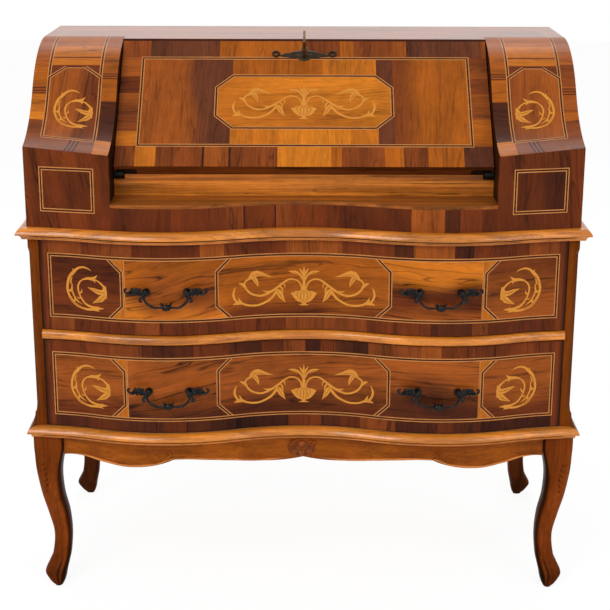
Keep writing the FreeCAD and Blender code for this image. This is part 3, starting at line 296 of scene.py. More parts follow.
def makeInlay(name):
    finish, start, shader = newFinish(name)
    grain, tint = grainAndTint(start)
    along = start.node("SeparateXYZ", None, {0: grain})
    scorch = along.within(*sandLook["along"]) * along.other(1).within(*sandLook["across"])
    streak = grain.scaled(*sandLook["streak"]).noise(1.0) - 0.5
    cloud = start.node("TexCoord", output="Object").noise(sandLook["cloud"])
    tone = scorch * sandLook["scorched"] + sandLook["clouded"] * cloud.within(*sandLook["cloudSpan"])
    tone = (tone + sandLook["streaked"] * streak).within(0.0, 1.0)
    deep, cloudy = sandLook["deep"]
    colour = tone.blend(tint, shaded(start, tint, deep + cloudy * cloud))
    lacquered(start, shader, colour, streak, cloud, sandLook["rough"])
    return finish


def makeMetal(name, dark, wornAndGlint, rough, bare=0.9):
    finish, start, shader = newFinish(name)
    spot = start.node("TexCoord", output="Object")
    cloud, specks = spot.noise(*metalLook["cloud"]), spot.noise(*metalLook["specks"])
    # raised ridges turn paler: wear, and a painted highlight where they would catch the light
    wearAndGlint = start.node("NewGeometry", output="Pointiness").within(*metalLook["wornAndGlintSpan"]) * metalLook["wornAndGlint"]
    tone = (wearAndGlint + cloud.within(*metalLook["cloudSpan"]) * metalLook["clouded"]).within(0.0, 1.0)
    bump = start.node("Bump", None, {
        "Strength": metalLook["bump"], "Distance": metalLook["bumpDeep"],
        "Height": cloud + metalLook["speckBump"] * specks})
    plug(start, shader, Base_Color=tone.blend((*dark, 1), (*wornAndGlint, 1)), Normal=bump,
         Roughness=rough + metalLook["cloudRough"] * cloud - metalLook["smoother"],
         Metallic=tone * (1.0 - bare) + bare, Specular_IOR_Level=metalLook["specular"])
    return finish


honeyPair = (0.74, 0.245, 0.024), (0.47, 0.137, 0.011)
insidePair = (0.42, 0.125, 0.018), (0.25, 0.064, 0.010)
beechPair = (0.58, 0.33, 0.15), (0.47, 0.245, 0.10)
timbers = {  # name, pale, dark, figure, roughness, coat, fineness, then darker or paler with height and painted shade on inward faces; the key ends with the way of the grain
    "mouldingX": ("honey_moulding", *honeyPair, 0.5, 0.18, 0.85, 3.0),
    "mouldingY": ("honey_moulding_sides", *honeyPair, 0.5, 0.20, 0.25, 3.0),
    # sides of the base moulding: the moulding's wood painted darker as shade
    "coveY": ("cove_walnut", (0.20, 0.055, 0.012), (0.11, 0.030, 0.008), 0.5, 0.30, 0.10, 2.0),
    # a pale finish painted as a highlight on the apron's beads and the mouldings' fillets
    "beadX": ("pale_bead", (0.70, 0.24, 0.055), (0.54, 0.175, 0.032), 0.4, 0.26, 0.20, 3.0),
    "railX": ("striped_rail", (0.70, 0.220, 0.024), (0.32, 0.088, 0.011), 0.9, 0.28, 0.22, 4.0),
    "ledgeX": ("ledge_walnut", (0.34, 0.095, 0.012), (0.18, 0.048, 0.008), 0.8, 0.28, 0.20, 4.0),
    "apronX": ("apron_walnut", (0.37, 0.092, 0.004), (0.26, 0.058, 0.003), 0.45, 0.30, 0.06, 2.0),
    "shellX": ("carved_walnut", (0.33, 0.080, 0.010), (0.22, 0.050, 0.006), 0.5, 0.26, 0.16, 3.0),
    "sideY": ("apron_walnut_sides", (0.32, 0.076, 0.004), (0.19, 0.040, 0.003), 0.45, 0.30, 0.06, 2.0),
    # front legs: faces turned to the desk's middle get painted shade (0.16)
    "legZ": ("leg_walnut", (0.300, 0.064, 0.009), (0.200, 0.040, 0.006), 0.35, 0.26, 0.0, 1.5,
             ((0.020, 0.080, 0.42, 1.0), (0.150, 0.225, 1.0, 0.66)), 0.16),
    # rear legs: the legs' wood painted darker as the shade under the desk
    "rearLegZ": ("rear_leg_walnut", (0.125, 0.031, 0.007), (0.066, 0.015, 0.004), 0.40, 0.30, 0.0, 1.5,
                 ((0.020, 0.085, 0.60, 1.0),)),
    "postZ": ("post_walnut", (0.190, 0.043, 0.004), (0.100, 0.020, 0.002), 0.5, 0.34, 0.0),
    "walnutZ": ("walnut_upright", (0.170, 0.038, 0.006), (0.080, 0.017, 0.004), 0.8),
    "walnutX": ("walnut_flat", (0.220, 0.054, 0.010), (0.10, 0.024, 0.006), 0.7),
    # near black: painted shade for the gaps beside the lid and the quirk lines of the mouldings
    "shadeZ": ("stained_cheek", (0.040, 0.011, 0.004), (0.020, 0.006, 0.003), 0.6, 0.45, 0.0),
    "insideX": ("desk_inside", *insidePair, 0.6, 0.36, 0.0, 2.0),
    "insideZ": ("desk_inside_upright", *insidePair, 0.6, 0.36, 0.0, 2.0),
    "beechX": ("beech_flat", *beechPair, 0.35, 0.5, 0.0, 2.0),
    "beechY": ("beech_long", *beechPair, 0.35, 0.5, 0.0, 2.0),
}
finishes = {
    "veneer": makeVeneer("walnut_marquetry", 0.06, 0.06), "inlay": makeInlay("fruitwood_inlay"),
    "polished": makeVeneer("polished_marquetry", 0.08, 0.07), "waxed": makeVeneer("waxed_top", 0.42, 0.22),
    **{key: makeTimber(key[-1], *row) for key, row in timbers.items()},
    "bronze": makeMetal("black_bronze", (0.0040, 0.0036, 0.0032), (0.15, 0.145, 0.135), 0.16, 0.0),
    "oldBronze": makeMetal("olive_bronze", (0.034, 0.023, 0.013), (0.15, 0.105, 0.055), 0.40),
    "brass": makeMetal("key_brass", (0.14, 0.095, 0.050), (0.50, 0.36, 0.20), 0.34),
    "iron": makeMetal("black_iron", (0.006, 0.005, 0.005), (0.06, 0.058, 0.055), 0.30, 0.1),
}
cadFinish = {
    "mouldingX": "waist_moulding_front base_moulding_front drawer_divider",
    "mouldingY": "waist_moulding_sides", "coveY": "base_moulding_sides", "railX": "bed_front_rail",
    "ledgeX": "ledge_board", "apronX": "front_apron", "sideY": "side_aprons", "postZ": "front_posts",
    "walnutZ": "lower_side_panels upper_side_panels flank_panels",
    "walnutX": "top_board frieze_panel lid_panel upper_drawer_front lower_drawer_front",
    "insideX": "writing_bed inner_shelf left_inner_front right_inner_front",
    "insideZ": "inner_dividers", "shadeZ": "inner_cheeks slope_panels",
    "beechX": "bottom_board waist_board rear_rail upper_back_panel lower_back_panel glue_blocks "
              "upper_drawer_back lower_drawer_back upper_drawer_bottom lower_drawer_bottom",
    "beechY": "drawer_runners upper_drawer_sides lower_drawer_sides left_inner_box right_inner_box",
    "oldBronze": "left_inner_knob right_inner_knob lock_case",
    "brass": "key lock_bolt strike_plate pivot_bushes",
    "iron": "lid_pivots upper_handle_posts lower_handle_posts",
}
for finish, names in cadFinish.items():
    for name in names.split():
        nodes[name].data.materials.clear()
        nodes[name].data.materials.append(finishes[finish])
print("finishes:", len(finishes))


# Making pieces.
def placed(name, bm, finish, body, smooth=True):
    mesh = bpy.data.meshes.new(name)
    bm.to_mesh(mesh)
    bm.free()
    mesh.materials.append(finishes[finish])
    if smooth:
        mesh.shade_smooth()
    piece = bpy.data.objects.new(name, mesh)
    bpy.context.scene.collection.objects.link(piece)
    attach(piece, body)
    return piece


def rowsOf(text):  # rows of numbers and names, set apart by commas
    return [[word if word.isalpha() else float(word) for word in row.split()] for row in text.split(",")]


def sheetGrid(bm, along, across, place):  # a grid laid by place(t, s), t from 0 to 1 and s from -1 to 1
    made = bmesh.ops.create_grid(bm, x_segments=along, y_segments=across, size=1)["verts"]
    spots = {v: ((v.co.x + 1) / 2, v.co.y) for v in made}
    for v, (t, s) in spots.items():
        v.co = place(t, s)
    return spots


def bud(bm, place, around=10, along=8):  # a closed oval form bent by place
    for v in bmesh.ops.create_uvsphere(bm, u_segments=around, v_segments=along, radius=1)["verts"]:
        v.co = place(v.co.copy())


def stretch(values, t):  # the stretch between two values that t falls in, and how far along it
    t = min(max(t, 0.0), 1.0) * (len(values) - 1)
    i = min(int(t), len(values) - 2)
    return i, t - i


def between(values, t):
    i, f = stretch(values, t)
    return values[i] + (values[i + 1] - values[i]) * f


def bentPath(points, t):
    i, f = stretch(points, t)
    b, c = points[i], points[i + 1]
    a = points[i - 1] if i else b * 2 - c
    d = points[i + 2] if i + 2 < len(points) else c * 2 - b
    return 0.5 * ((2 * b) + (c - a) * f + (2 * a - 5 * b + 4 * c - d) * f * f
                  + (3 * b - a - 3 * c + d) * f ** 3)


def heading(points, t):
    step = 0.004
    return (bentPath(points, t + step) - bentPath(points, t - step)).normalized()


def rodInto(bm, points, radii, flat=(0, 1, 0), around=8, along=40):  # thick and thin along a bent path
    points = [Vector(p) for p in points]
    flat = Vector(flat)

    def place(t, s):
        way = heading(points, t)
        side = way.cross(flat).normalized()
        turn = math.pi * s
        spoke = side * math.cos(turn) + side.cross(way) * math.sin(turn)
        return bentPath(points, t) + spoke * between(radii, t)

    sheetGrid(bm, along, around, place)


def settle(bm):
    bmesh.ops.remove_doubles(bm, verts=bm.verts, dist=0.00002)
    bmesh.ops.recalc_face_normals(bm, faces=bm.faces)


def shaped(name, finish, build, body="case", instead=None):
    bm = bmesh.new()
    build(bm)
    settle(bm)
    piece = placed(name, bm, finish, body)
    if instead:
        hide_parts(instead)


# Marquetry: a flat panel is cut along its joints, each part is given its wood, and the panel is laid on
# its surface. A cut is a point and a normal; a zone gives a wood, the grain's angle, its figure and a seed.
stringing = {"dark": 0.0013, "light": 0.0030, "skin": 0.0006}
grainShift = 0.731, 0.417
joined = 0.00002
fadeWaves = (23, 0, 3, 1.0), (61, 0, 1, 0.5), (0, 47, 0, 1.0)  # per u, per v, start and share
down, up = (0, -1), (0, 1)


def upright(places):
    return [(u, 0, 1, 0) for u in places]


def level(places):
    return [(0, v, 0, 1) for v in places]


def evenly(low, high, step):  # where a span is cut so that no part is longer than step
    count = math.ceil((high - low) / step) if step else 1
    return [low + (high - low) * i / count for i in range(1, count)]


def fade(first, second, at, way, run, sway=0.004):  # one colour darkening into another: a board's heart, and the painted shadow at the drawers' ends
    pair = Vector(woods[first]), Vector(woods[second])

    def paint(u, v):
        wave = sway * sum(share * math.sin(a * u + b * v + start) for a, b, start, share in fadeWaves)
        t = ((u - at[0]) * way[0] + (v - at[1]) * way[1] + wave) / run
        t = min(max(t, 0.0), 1.0)
        return pair[0].lerp(pair[1], t * t * (3 - 2 * t))

    return paint


def marquetry(name, body, span, lines, zone, surface, columns=0.0, rows=0.0, finish="veneer"):
    bm = bmesh.new()
    u0, u1, v0, v1 = span
    sheetGrid(bm, 1, 1, lambda t, s: Vector((u0 + (u1 - u0) * t, v0 + (v1 - v0) * (s + 1) / 2, 0)))
    for u, v, nu, nv in (*lines, *upright(evenly(u0, u1, columns)), *level(evenly(v0, v1, rows))):
        geom = bm.verts[:] + bm.edges[:] + bm.faces[:]
        bmesh.ops.bisect_plane(bm, geom=geom, dist=joined, plane_co=(u, v, 0), plane_no=(nu, nv, 0))
    grain = bm.loops.layers.uv.new("grain")
    tint = bm.loops.layers.float_color.new("tint")
    for face in bm.faces:
        middle = face.calc_center_median()
        wood, turn, figure, seed = zone(middle.x, middle.y)
        c, s = math.cos(math.radians(turn)), math.sin(math.radians(turn))
        for loop in face.loops:
            u, v = loop.vert.co.x, loop.vert.co.y
            loop[grain].uv = (u * c + v * s + grainShift[0] * seed, v * c - u * s + grainShift[1] * seed)
            loop[tint] = (*(wood(u, v) if callable(wood) else woods[wood]), figure)
    for v in bm.verts:
        v.co = lifted(surface, v.co.x, v.co.y, stringing["skin"] / 2)
    piece = placed(name, bm, finish, body, False)
    skin = piece.modifiers.new("skin", "SOLIDIFY")
    skin.thickness, skin.offset = stringing["skin"], -1


def edgeLines(*outlines):  # the joints of a string inlay along each edge of each outline
    offsets = (-stringing["light"], -stringing["dark"], stringing["dark"], stringing["light"])
    return [(nu * (c + o), nv * (c + o), nu, nv)
            for edges in outlines for nu, nv, c in edges for o in offsets]


def reach(edges, u, v):
    return max(nu * u + nv * v - c for nu, nv, c in edges)


def stringAt(edges, u, v, turn=0, seed=3):  # the zone of a dark and light string, or nothing
    away = abs(reach(edges, u, v))
    if away < stringing["light"]:
        return "sable" if away < stringing["dark"] else "string", turn, 0.1, seed
    return None


def rectEdges(u0, u1, v0, v1):
    return [(-1, 0, -u0), (1, 0, u1), (0, -1, -v0), (0, 1, v1)]


def cornerCut(u, v, du, dv):  # the edge that takes du by dv off the corner at (u, v); signs point outwards
    nu, nv = Vector((1 / du, 1 / dv)).normalized()
    return (nu, nv, nu * (u - du) + nv * v)


def blockAt(blocks, u):
    for index, (stop, wood, figure) in enumerate(blocks):
        if u < stop:
            return wood, figure, index
    return blocks[-1][1], blocks[-1][2], len(blocks)


def stops(*bands):
    return [stop for blocks in bands for stop, wood, figure in blocks[:-1]]


# Vase with scrolls, and leaf wreath: strokes as rows of a point and a half width, in millimetres.
vaseScroll = {
    "middle": [
        "-21.5 -13.1 0.6, -15.4 -15.3 5.2, -7.7 -18.7 9.2, 0 -20.2 10.3, 7.7 -18.7 9.2, 15.4 -15.3 5.2, "
        "21.5 -13.1 0.6",
        "0 -28.2 3.8, 0 -31.1 2.9, 0 -33.4 4.5",
        "-8.6 -34.3 0.3, -4.4 -33.6 1, 0 -33.4 1.3, 4.4 -33.6 1, 8.6 -34.3 0.3",
        "0 -9.8 3.4, 0 0.6 2.5, 0 9.8 2.2, 0 17.9 2.7",
        "0 14.4 1.6, 0 24.8 1.7, 0 34.6 0.1",
    ],
    "sides": [
        "-0.9 17.9 1.6, -4.6 24.8 1.6, -7.9 30.1 0.1",
        "-1.3 9.8 1.6, -6.8 18.5 1.7, -13.2 22.4 2.7, -19.9 24 2.2, -26.3 25 0.1",
        "-2.4 -8.6 1.3, -6.1 2.9 1.5, -12.7 9.4 1.3, -23.2 11.2 1.3, -32 7 1.6, -41.9 -0.7 2, "
        "-51.8 -7.8 2, -61.8 -13.1 1.9, -71.7 -16 1.8, -81.6 -14.4 1.7, -90.4 -9.7 1.7, -96.5 -2.4 1.6, "
        "-99.3 5 1.5, -96.5 10.9 1.5, -90.4 14.1 1.8",
        "-95.4 -3.3 0.9, -99.8 3.3 2.7, -104.2 6.4 2, -109.2 8.2 0.1",
        "-91.5 14.1 2.5, -83.8 21.1 5.2, -75 22.1 4.5, -64 18.9 2.2, -51.8 15.6 0.1",
        "-87.1 18.5 2.9, -81.6 12.7 3.8, -78.5 6.7 2.7, -76.1 -0.9 0.1",
        "-88.5 19.7 1.6, -82.7 24.5 2.5, -75.6 27.6 0.3",
        "-53.5 -8.5 1.1, -61.8 -9.8 1.6, -69.5 -7.1 0.1",
        "-44.1 -5.2 0.9, -47.4 -12 2.2, -55.1 -21.5 2.1, -65.1 -27.9 1.9, -76.1 -32 1.8, -88.2 -32.2 1.8, "
        "-98.2 -29.7 1.7, -105.3 -25.8 2",
        "-102.6 -27.4 2, -110.9 -26.6 3.1, -119.1 -29.3 0.1",
        "-104.2 -28.7 2.5, -106.8 -22.8 2, -109.7 -15.9 0.1",
        "-105 -26 1.2, -112.6 -23 1.8, -117.1 -13 2, -116.2 -5 1.6, -113 2.5 0.1",
        "-46.9 -5.3 0.9, -41.9 -11.1 4.7, -37.5 -19.3 4, -31.1 -29.3 0.1",
        "-40.3 -0.7 0.9, -36.4 -5.5 1.6, -35.1 -15.9 0.1",
        "-35.3 5.8 0.8, -32.2 0.7 1, -31.8 -6.2 0.1",
        "-3.3 -6.3 0.7, -7.5 -10.9 1.8, -15.4 -9.6 0.2",
    ],
    "veins": [
        "0 -11 0.3, 0 -21.3 0.4, 0 -28.8 0.2",
        "-4.4 -10.3 0.3, -6.1 -19 0.4, -2.2 -28.5 0.2",
        "-9.9 -10.8 0.3, -11.6 -16.6 0.4, -5 -26.5 0.1",
        "-85.5 19.2 0.2, -76.1 20.7 0.4, -62.9 17.7 0.1",
        "-84.9 16.9 0.2, -80.5 10.3 0.4, -77.8 3.2 0.1",
        "-44.7 -7.5 0.2, -39.7 -16.3 0.4, -33.6 -25.8 0.1",
        "-8.3 18.5 0.1, -14.3 21.8 0.4, -22.1 23.8 0.1",
    ],
}
leafWreath = {
    "strokes": [
        "11.5 32.1 0.1, 4 36.1 1.3, -4 37.5 1.6, -12 35.3 1.8, -18.9 29.4 2.6, -25.8 21 2.9, "
        "-30.1 10.2 2.4, -31.7 -0.6 1.9, -29.8 -10.2 1.7, -24.6 -19.8 2.1, -17.8 -27.6 2.1, "
        "-8.6 -32.3 1.7, 1.7 -34.6 2, 12.6 -33.9 2.2",
        "-17.8 27 1.6, -19.8 31.1 1.4, -21.7 34.7 0.1",
        "-22.3 18.6 0.5, -25.8 13.8 2.1, -27.5 7.2 0.1",
        "-29.8 -3 1.2, -25.8 -4.2 1.9, -24.9 1.8 0.1",
        "-22.3 -22.2 1.4, -19.1 -19.8 1.9, -20.1 -13.8 0.1",
        "-4 17.1 1.1, -10.3 11.1 1.4, -13.2 2.8 1.6, -12 -6.6 1.3, -8.6 -15 1.3, -2.9 -23.4 1.6, "
        "4 -28.2 1.9, 13.2 -30.3 1.9, 21.2 -29.6 1.4",
        "-26 16 0.2, -23.6 6 1.1, -23.6 -4 1.3, -20.2 -13.4 1.2, -14.6 -21.4 1.2, -6 -27.2 0.1",
        "-8.6 -15 0.8, -12.6 -16.4 1.1, -15.4 -13.6 0.1",
        "-5.2 16.4 1.2, 4 19 2.3, 13.2 19.5 3, 21.4 26 0.1",
        "12 18 1.4, 15.5 15.6 1.6, 16.4 12.3 0.1",
        "-10.3 -7.8 1.2, -7.4 -4.8 1.4, -6.9 0.4 0.1",
        "16.6 18 1.2, 24.1 13.8 1.4, 31.5 6.6 1.9",
        "33.2 8 1.9, 32.1 -3 4.7, 35.9 -14 0.2",
        "33.8 -3 4.2, 22.9 -3.2 4.4, 13.2 0.4 3, 3.1 3.7 0.1",
        "33.2 -7.8 4.2, 25.8 -14.7 5.1, 18.9 -18.8 2.8, 10.7 -23.1 0.1",
        "11.5 -33.5 2.6, 20.1 -31.5 2.8, 30.9 -31 0.1",
        "14.3 -34.4 1.9, 18.9 -35.1 1.4, 23.3 -37 0.1",
    ],
    "veins": [
        "32.1 -3.6 0.2, 22.3 -2.4 0.5, 8.6 2 0.1",
        "31.5 -9 0.2, 24.6 -16.2 0.5, 14.3 -21.6 0.1",
        "-22.3 23.4 0.2, -27.5 11.4 0.6, -29.5 -0.6 0.1",
        "-27.5 -16.2 0.1, -18.9 -26.4 0.5, -5.2 -33.2 0.1",
    ],
}
inlayLook = {"rise": 0.00042, "step": 0.00002, "turns": 12, "vein": 0.0002, "figure": 0.3, "cuts": 6}


def strokesOf(shape, u, v, side=1, wide=1.0, tall=1.0):  # beside a middle, strokes are drawn on both sides
    strokes = []
    for group, rows in shape.items():
        wood = "scorched" if group == "veins" else "straw"
        for points in map(rowsOf, rows):
            for way in (1, -1) if "middle" in shape and group != "middle" else (side,):
                path = [Vector((u + way * a * wide * mm, v + b * tall * mm, 0)) for a, b, w in points]
                strokes.append((path, [w * mm for a, b, w in points], wood))
    return strokes


def motif(name, body, strokes, surface):
    bm = bmesh.new()
    grain = bm.loops.layers.uv.new("grain")
    tint = bm.loops.layers.float_color.new("tint")
    for index, (path, widths, wood) in enumerate(strokes):
        height = inlayLook["rise"] + inlayLook["step"] * (index % inlayLook["turns"])
        height += inlayLook["vein"] * (wood == "scorched")

        def place(t, s):
            way = heading(path, t)
            flat = bentPath(path, t) + Vector((-way.y, way.x, 0)) * s * between(widths, t)
            return lifted(surface, flat.x, flat.y, height)

        spots = sheetGrid(bm, inlayLook["cuts"] * len(path), 2, place)
        for face in {f for v in spots for f in v.link_faces}:
            for loop in face.loops:
                loop[grain].uv = spots[loop.vert]
                loop[tint] = (*woods[wood], inlayLook["figure"])
    placed(name, bm, "inlay", body, False)


# Drawer fronts. A shading is two woods, how far above the middle it starts, its way, run and sway.
drawerLook = {
    "half": 0.4385, "across": 0.422, "end": 0.300, "joint": 0.2945, "jointWide": 0.0011, "octagon": 0.1435,
    "cut": 0.0235, "edge": 0.431, "edgeShadowRun": 0.0045, "cell": (0.009, 0.006), "vaseAt": 0.0005,
    "wreathAt": 0.3615,
    "upper": {
        "z": (0.4755, 0.6305), "frame": (0.500, 0.6054), "wreath": 0.549, "vase": 0.552,
        "octWood": [[("amber", "russet", -0.010, down, 0.038, 0.007)]],
        "endWood": [[("russet", "cherry", -0.015, up, 0.03, 0.006)],
                    [("rust", "cherry", 0.008, up, 0.050, 0.006)]],
        "handleWood": [[("rust", "amber", 0.006, up, 0.036, 0.012),
                        ("rust", "orange", -0.004, down, 0.036, 0.012)],
                       [("russet", "orange", 0.002, up, 0.022, 0.006),
                        ("russet", "rust", -0.022, down, 0.020, 0.006)]],
        "top": rowsOf(
            "-0.368 chestnut 0.6, -0.34 russet 0.7, -0.282 chestnut 0.6, -0.17 cherry 0.8, "
            "-0.131 rust 0.6, -0.03 russet 0.8, 0.063 rust 0.6, 0.149 russet 0.7, 0.18 umber 0.6, "
            "0.247 rust 0.6, 0.279 umber 0.8, 0.372 russet 0.6, 0.45 chestnut 0.6"),
        "low": rowsOf(
            "-0.383 chestnut 0.5, -0.279 cherry 0.7, -0.239 chestnut 0.5, -0.134 cherry 0.8, "
            "-0.03 russet 0.7, 0.105 chestnut 0.7, 0.211 russet 0.7, 0.28 umber 0.8, 0.306 chestnut 0.6, "
            "0.45 cherry 0.7"),
    },
    "lower": {
        "z": (0.3025, 0.4565), "frame": (0.3252, 0.433), "wreath": 0.377, "vase": 0.379,
        "octWood": [[("rust", "cherry", 0.010, down, 0.055, 0.007)]],
        "endWood": [[("rust", "russet", 0.002, down, 0.045, 0.006)],
                    [("rust", "cherry", 0.004, down, 0.045, 0.006)]],
        "handleWood": [[("rust", "umber", 0.034, (0.15, -1), 0.048, 0.010)],
                       [("rust", "umber", 0.046, (-0.1, -1), 0.046, 0.010)]],
        "top": rowsOf(
            "-0.324 russet 0.7, -0.27 chestnut 0.5, -0.184 umber 0.9, -0.125 russet 0.7, -0.07 umber 0.8, "
            "-0.034 cherry 0.6, 0.003 chestnut 0.6, 0.029 sable 0.5, 0.054 russet 0.7, 0.109 umber 0.8, "
            "0.197 chestnut 0.6, 0.23 rust 0.5, 0.45 russet 0.9"),
        "low": rowsOf(
            "-0.363 umber 0.6, -0.314 cherry 0.6, -0.236 umber 0.9, -0.198 cherry 0.6, -0.132 umber 1, "
            "-0.051 sable 0.9, -0.026 ebony 0.5, 0.03 russet 0.6, 0.063 umber 0.7, 0.097 cherry 0.6, "
            "0.156 chestnut 0.8, 0.227 umber 0.8, 0.254 cherry 0.7, 0.3 umber 0.7, 0.45 sable 0.8"),
    },
}


def drawerFront(which):
    look, upper, body = drawerLook[which], which == "upper", which + "_drawer"
    foot, head = look["frame"]
    middle = (foot + head) / 2
    half, across, cut, end, octagon, joint, edge = (
        drawerLook[key] for key in ("half", "across", "cut", "end", "octagon", "joint", "edge"))
    jointEnd = joint + drawerLook["jointWide"]
    frameEdges = rectEdges(-across, across, foot, head)
    octEdges = [(-1, 0, octagon), (1, 0, octagon)]
    corners = (head, cut), (foot, -cut)
    ends = []
    for side in (-1, 1):
        octEdges += [cornerCut(side * octagon, z, side * cut, dz) for z, dz in corners]
        ends.append([(-side, 0, -end)] + [cornerCut(side * end, z, -side * cut, dz) for z, dz in corners])
    lines = edgeLines(frameEdges, octEdges, *ends) + upright(stops(look["top"], look["low"]))
    lines += upright(side * u for side in (-1, 1) for u in (joint, jointEnd))

    def shading(rows):  # a second row is for the lower half
        fades = [fade(first, second, (0, middle + rise), *rest) for first, second, rise, *rest in rows]
        return lambda u, v: fades[len(fades) > 1 and v <= middle](u, v)

    octWood, endWood, handleWood = ([shading(rows) for rows in look[key]]
                                    for key in ("octWood", "endWood", "handleWood"))
    # each drawer's outer ends fade into painted shadow, as in the gap beside the posts
    edgeShadow = [fade("russet", "shadow", (side * edge, middle), (side, 0), drawerLook["edgeShadowRun"], 0.0)
                for side in (-1, 1)]

    def zone(u, v):
        right = u > 0
        if string := stringAt(frameEdges, u, v):
            return string
        if reach(frameEdges, u, v) > 0:
            if abs(u) > across:
                return edgeShadow[right], 90, 0.6, 40 + right
            wood, figure, index = blockAt(look["top" if v > middle else "low"], u)
            return wood, 90, figure, index + (20 if v > middle else 50) + 7 * upper
        for edges in (octEdges, *ends):
            if string := stringAt(edges, u, v, seed=4):
                return string
        if reach(octEdges, u, v) < 0:
            return octWood[0], 4, 0.85, 7 + 3 * upper
        for index, edges in enumerate(ends):
            if reach(edges, u, v) < 0:
                return endWood[index], 2, 0.7, 11 + index + 4 * upper
        if abs(u) > joint:
            return "string" if abs(u) < jointEnd else "orange", 90, 0.3, 15
        return handleWood[right], -4 if right else 13, 1.15, 17 + right + 5 * upper

    marquetry(body + "_marquetry", body, (-half, half, *look["z"]), lines, zone, onFront, *drawerLook["cell"])
    strokes = strokesOf(vaseScroll, drawerLook["vaseAt"], look["vase"])
    for side in (-1, 1):
        strokes += strokesOf(leafWreath, side * drawerLook["wreathAt"], look["wreath"], -side)
    motif(body + "_scrolls", body, strokes, onFront)


for which in ("upper", "lower"):
    drawerFront(which)
print("drawer fronts laid")

# Lid.
lidLook = {
    "frame": (-0.277, 0.280, 0.043, 0.2285), "octagon": (-0.149, 0.149, 0.079, 0.190), "cut": (0.028, 0.026),
    "topShadow": 0.2665, "inner": 0.12, "cell": 0.012, "vase": (-0.0005, 1.02, 1.06),
    "shades": {  # two woods, where the second starts, its way, run and sway
        "heart": ("rust", "plum", -0.205, 0, (1, 0.08), 0.030, 0.003),
        "field": ("chestnut", "amber", 0.160, 0, (1, 0), 0.055, 0.004),
        "ground": ("orange", "honey", -0.02, -0.02, (0.5, 1), 0.06, 0.006)},
    "top": rowsOf(
        "-0.265 chestnut 0.6, -0.146 plum 0.7, 0.002 amber 0.6, 0.062 chestnut 0.6, 0.085 amber 0.4, "
        "0.153 chestnut 0.7, 0.176 rust 0.5, 0.305 plum 0.7, 0.4 rust 0.5"),
    "low": rowsOf(
        "-0.28 chestnut 0.6, -0.246 orange 0.6, -0.169 chestnut 0.9, -0.1655 ebony 0.2, -0.125 rust 0.6, "
        "-0.1215 ebony 0.2, -0.044 chestnut 0.8, 0.045 honey 0.4, 0.063 amber 0.7, 0.134 chestnut 0.6, "
        "0.166 amber 0.6, 0.206 chestnut 0.9, 0.265 amber 0.6, 0.4 plum 0.6"),
    "left": rowsOf(
        "0.072 orange 0.5, 0.132 chestnut 0.8, 0.152 rust 0.6, 0.188 russet 0.8, 0.3 rust 0.6"),
    "right": rowsOf(
        "0.097 amber 0.5, 0.151 rust 0.9, 0.185 chestnut 0.7, 0.212 rust 0.6, 0.3 chestnut 0.6"),
    "above": rowsOf(
        "-0.122 heart 0.6, 0.032 amber 0.5, 0.123 orange 0.5, 0.151 plum 0.6, 0.4 field 0.35"),
    "below": rowsOf(
        "-0.124 heart 0.6, -0.042 orange 0.4, 0.078 honey 0.3, 0.125 orange 0.4, 0.152 plum 0.6, "
        "0.4 field 0.4"),
}


def lidFront():
    frameEdges = rectEdges(*lidLook["frame"])
    foot, head = lidLook["frame"][2:]
    u0, u1, v0, v1 = lidLook["octagon"]
    du, dv = lidLook["cut"]
    middle = (v0 + v1) / 2
    octEdges = rectEdges(u0, u1, v0, v1)
    octEdges += [cornerCut(u, v, a, b) for v, b in ((v0, -dv), (v1, dv)) for u, a in ((u0, -du), (u1, du))]
    lines = edgeLines(frameEdges, octEdges)
    lines += upright(stops(*(lidLook[band] for band in ("top", "low", "above", "below"))))
    lines += level([*stops(lidLook["left"], lidLook["right"]), middle, lidLook["topShadow"]])
    shades = {key: fade(first, second, (at, middle + rise), *rest)
              for key, (first, second, at, rise, *rest) in lidLook["shades"].items()}

    def zone(u, v):
        if string := stringAt(frameEdges, u, v):
            return string
        if reach(frameEdges, u, v) > 0:
            # a dark strip painted along the lid's top edge as the shadow under the top board
            if v > lidLook["topShadow"]:
                return "sable", 0, 0.4, 2
            if foot < v < head:
                wood, figure, index = blockAt(lidLook["left" if u < 0 else "right"], v)
                return wood, 0, figure, 60 + index + 9 * (u > 0)
            wood, figure, index = blockAt(lidLook["top" if v > head else "low"], u)
            return wood, 90, figure, index + 31 * (v > head)
        if string := stringAt(octEdges, u, v, seed=4):
            return string
        if reach(octEdges, u, v) < 0:
            return shades["ground"], 3, 0.4, 8
        wood, figure, index = blockAt(lidLook["above" if v > middle else "below"], u)
        if wood in shades:
            return shades[wood], 87, figure, 94
        return wood, 90, figure, 80 + index if abs(u) < lidLook["inner"] else 95 + 2 * (wood == "plum")

    span = -lid["half"], lid["half"], 0, lid["length"]
    marquetry("lid_marquetry", "lid", span, lines, zone, onLid, lidLook["cell"], lidLook["cell"])
    at, wide, tall = lidLook["vase"]
    motif("lid_scrolls", "lid", strokesOf(vaseScroll, at, middle, 1, wide, tall), onLid)


lidFront()
print("lid laid")

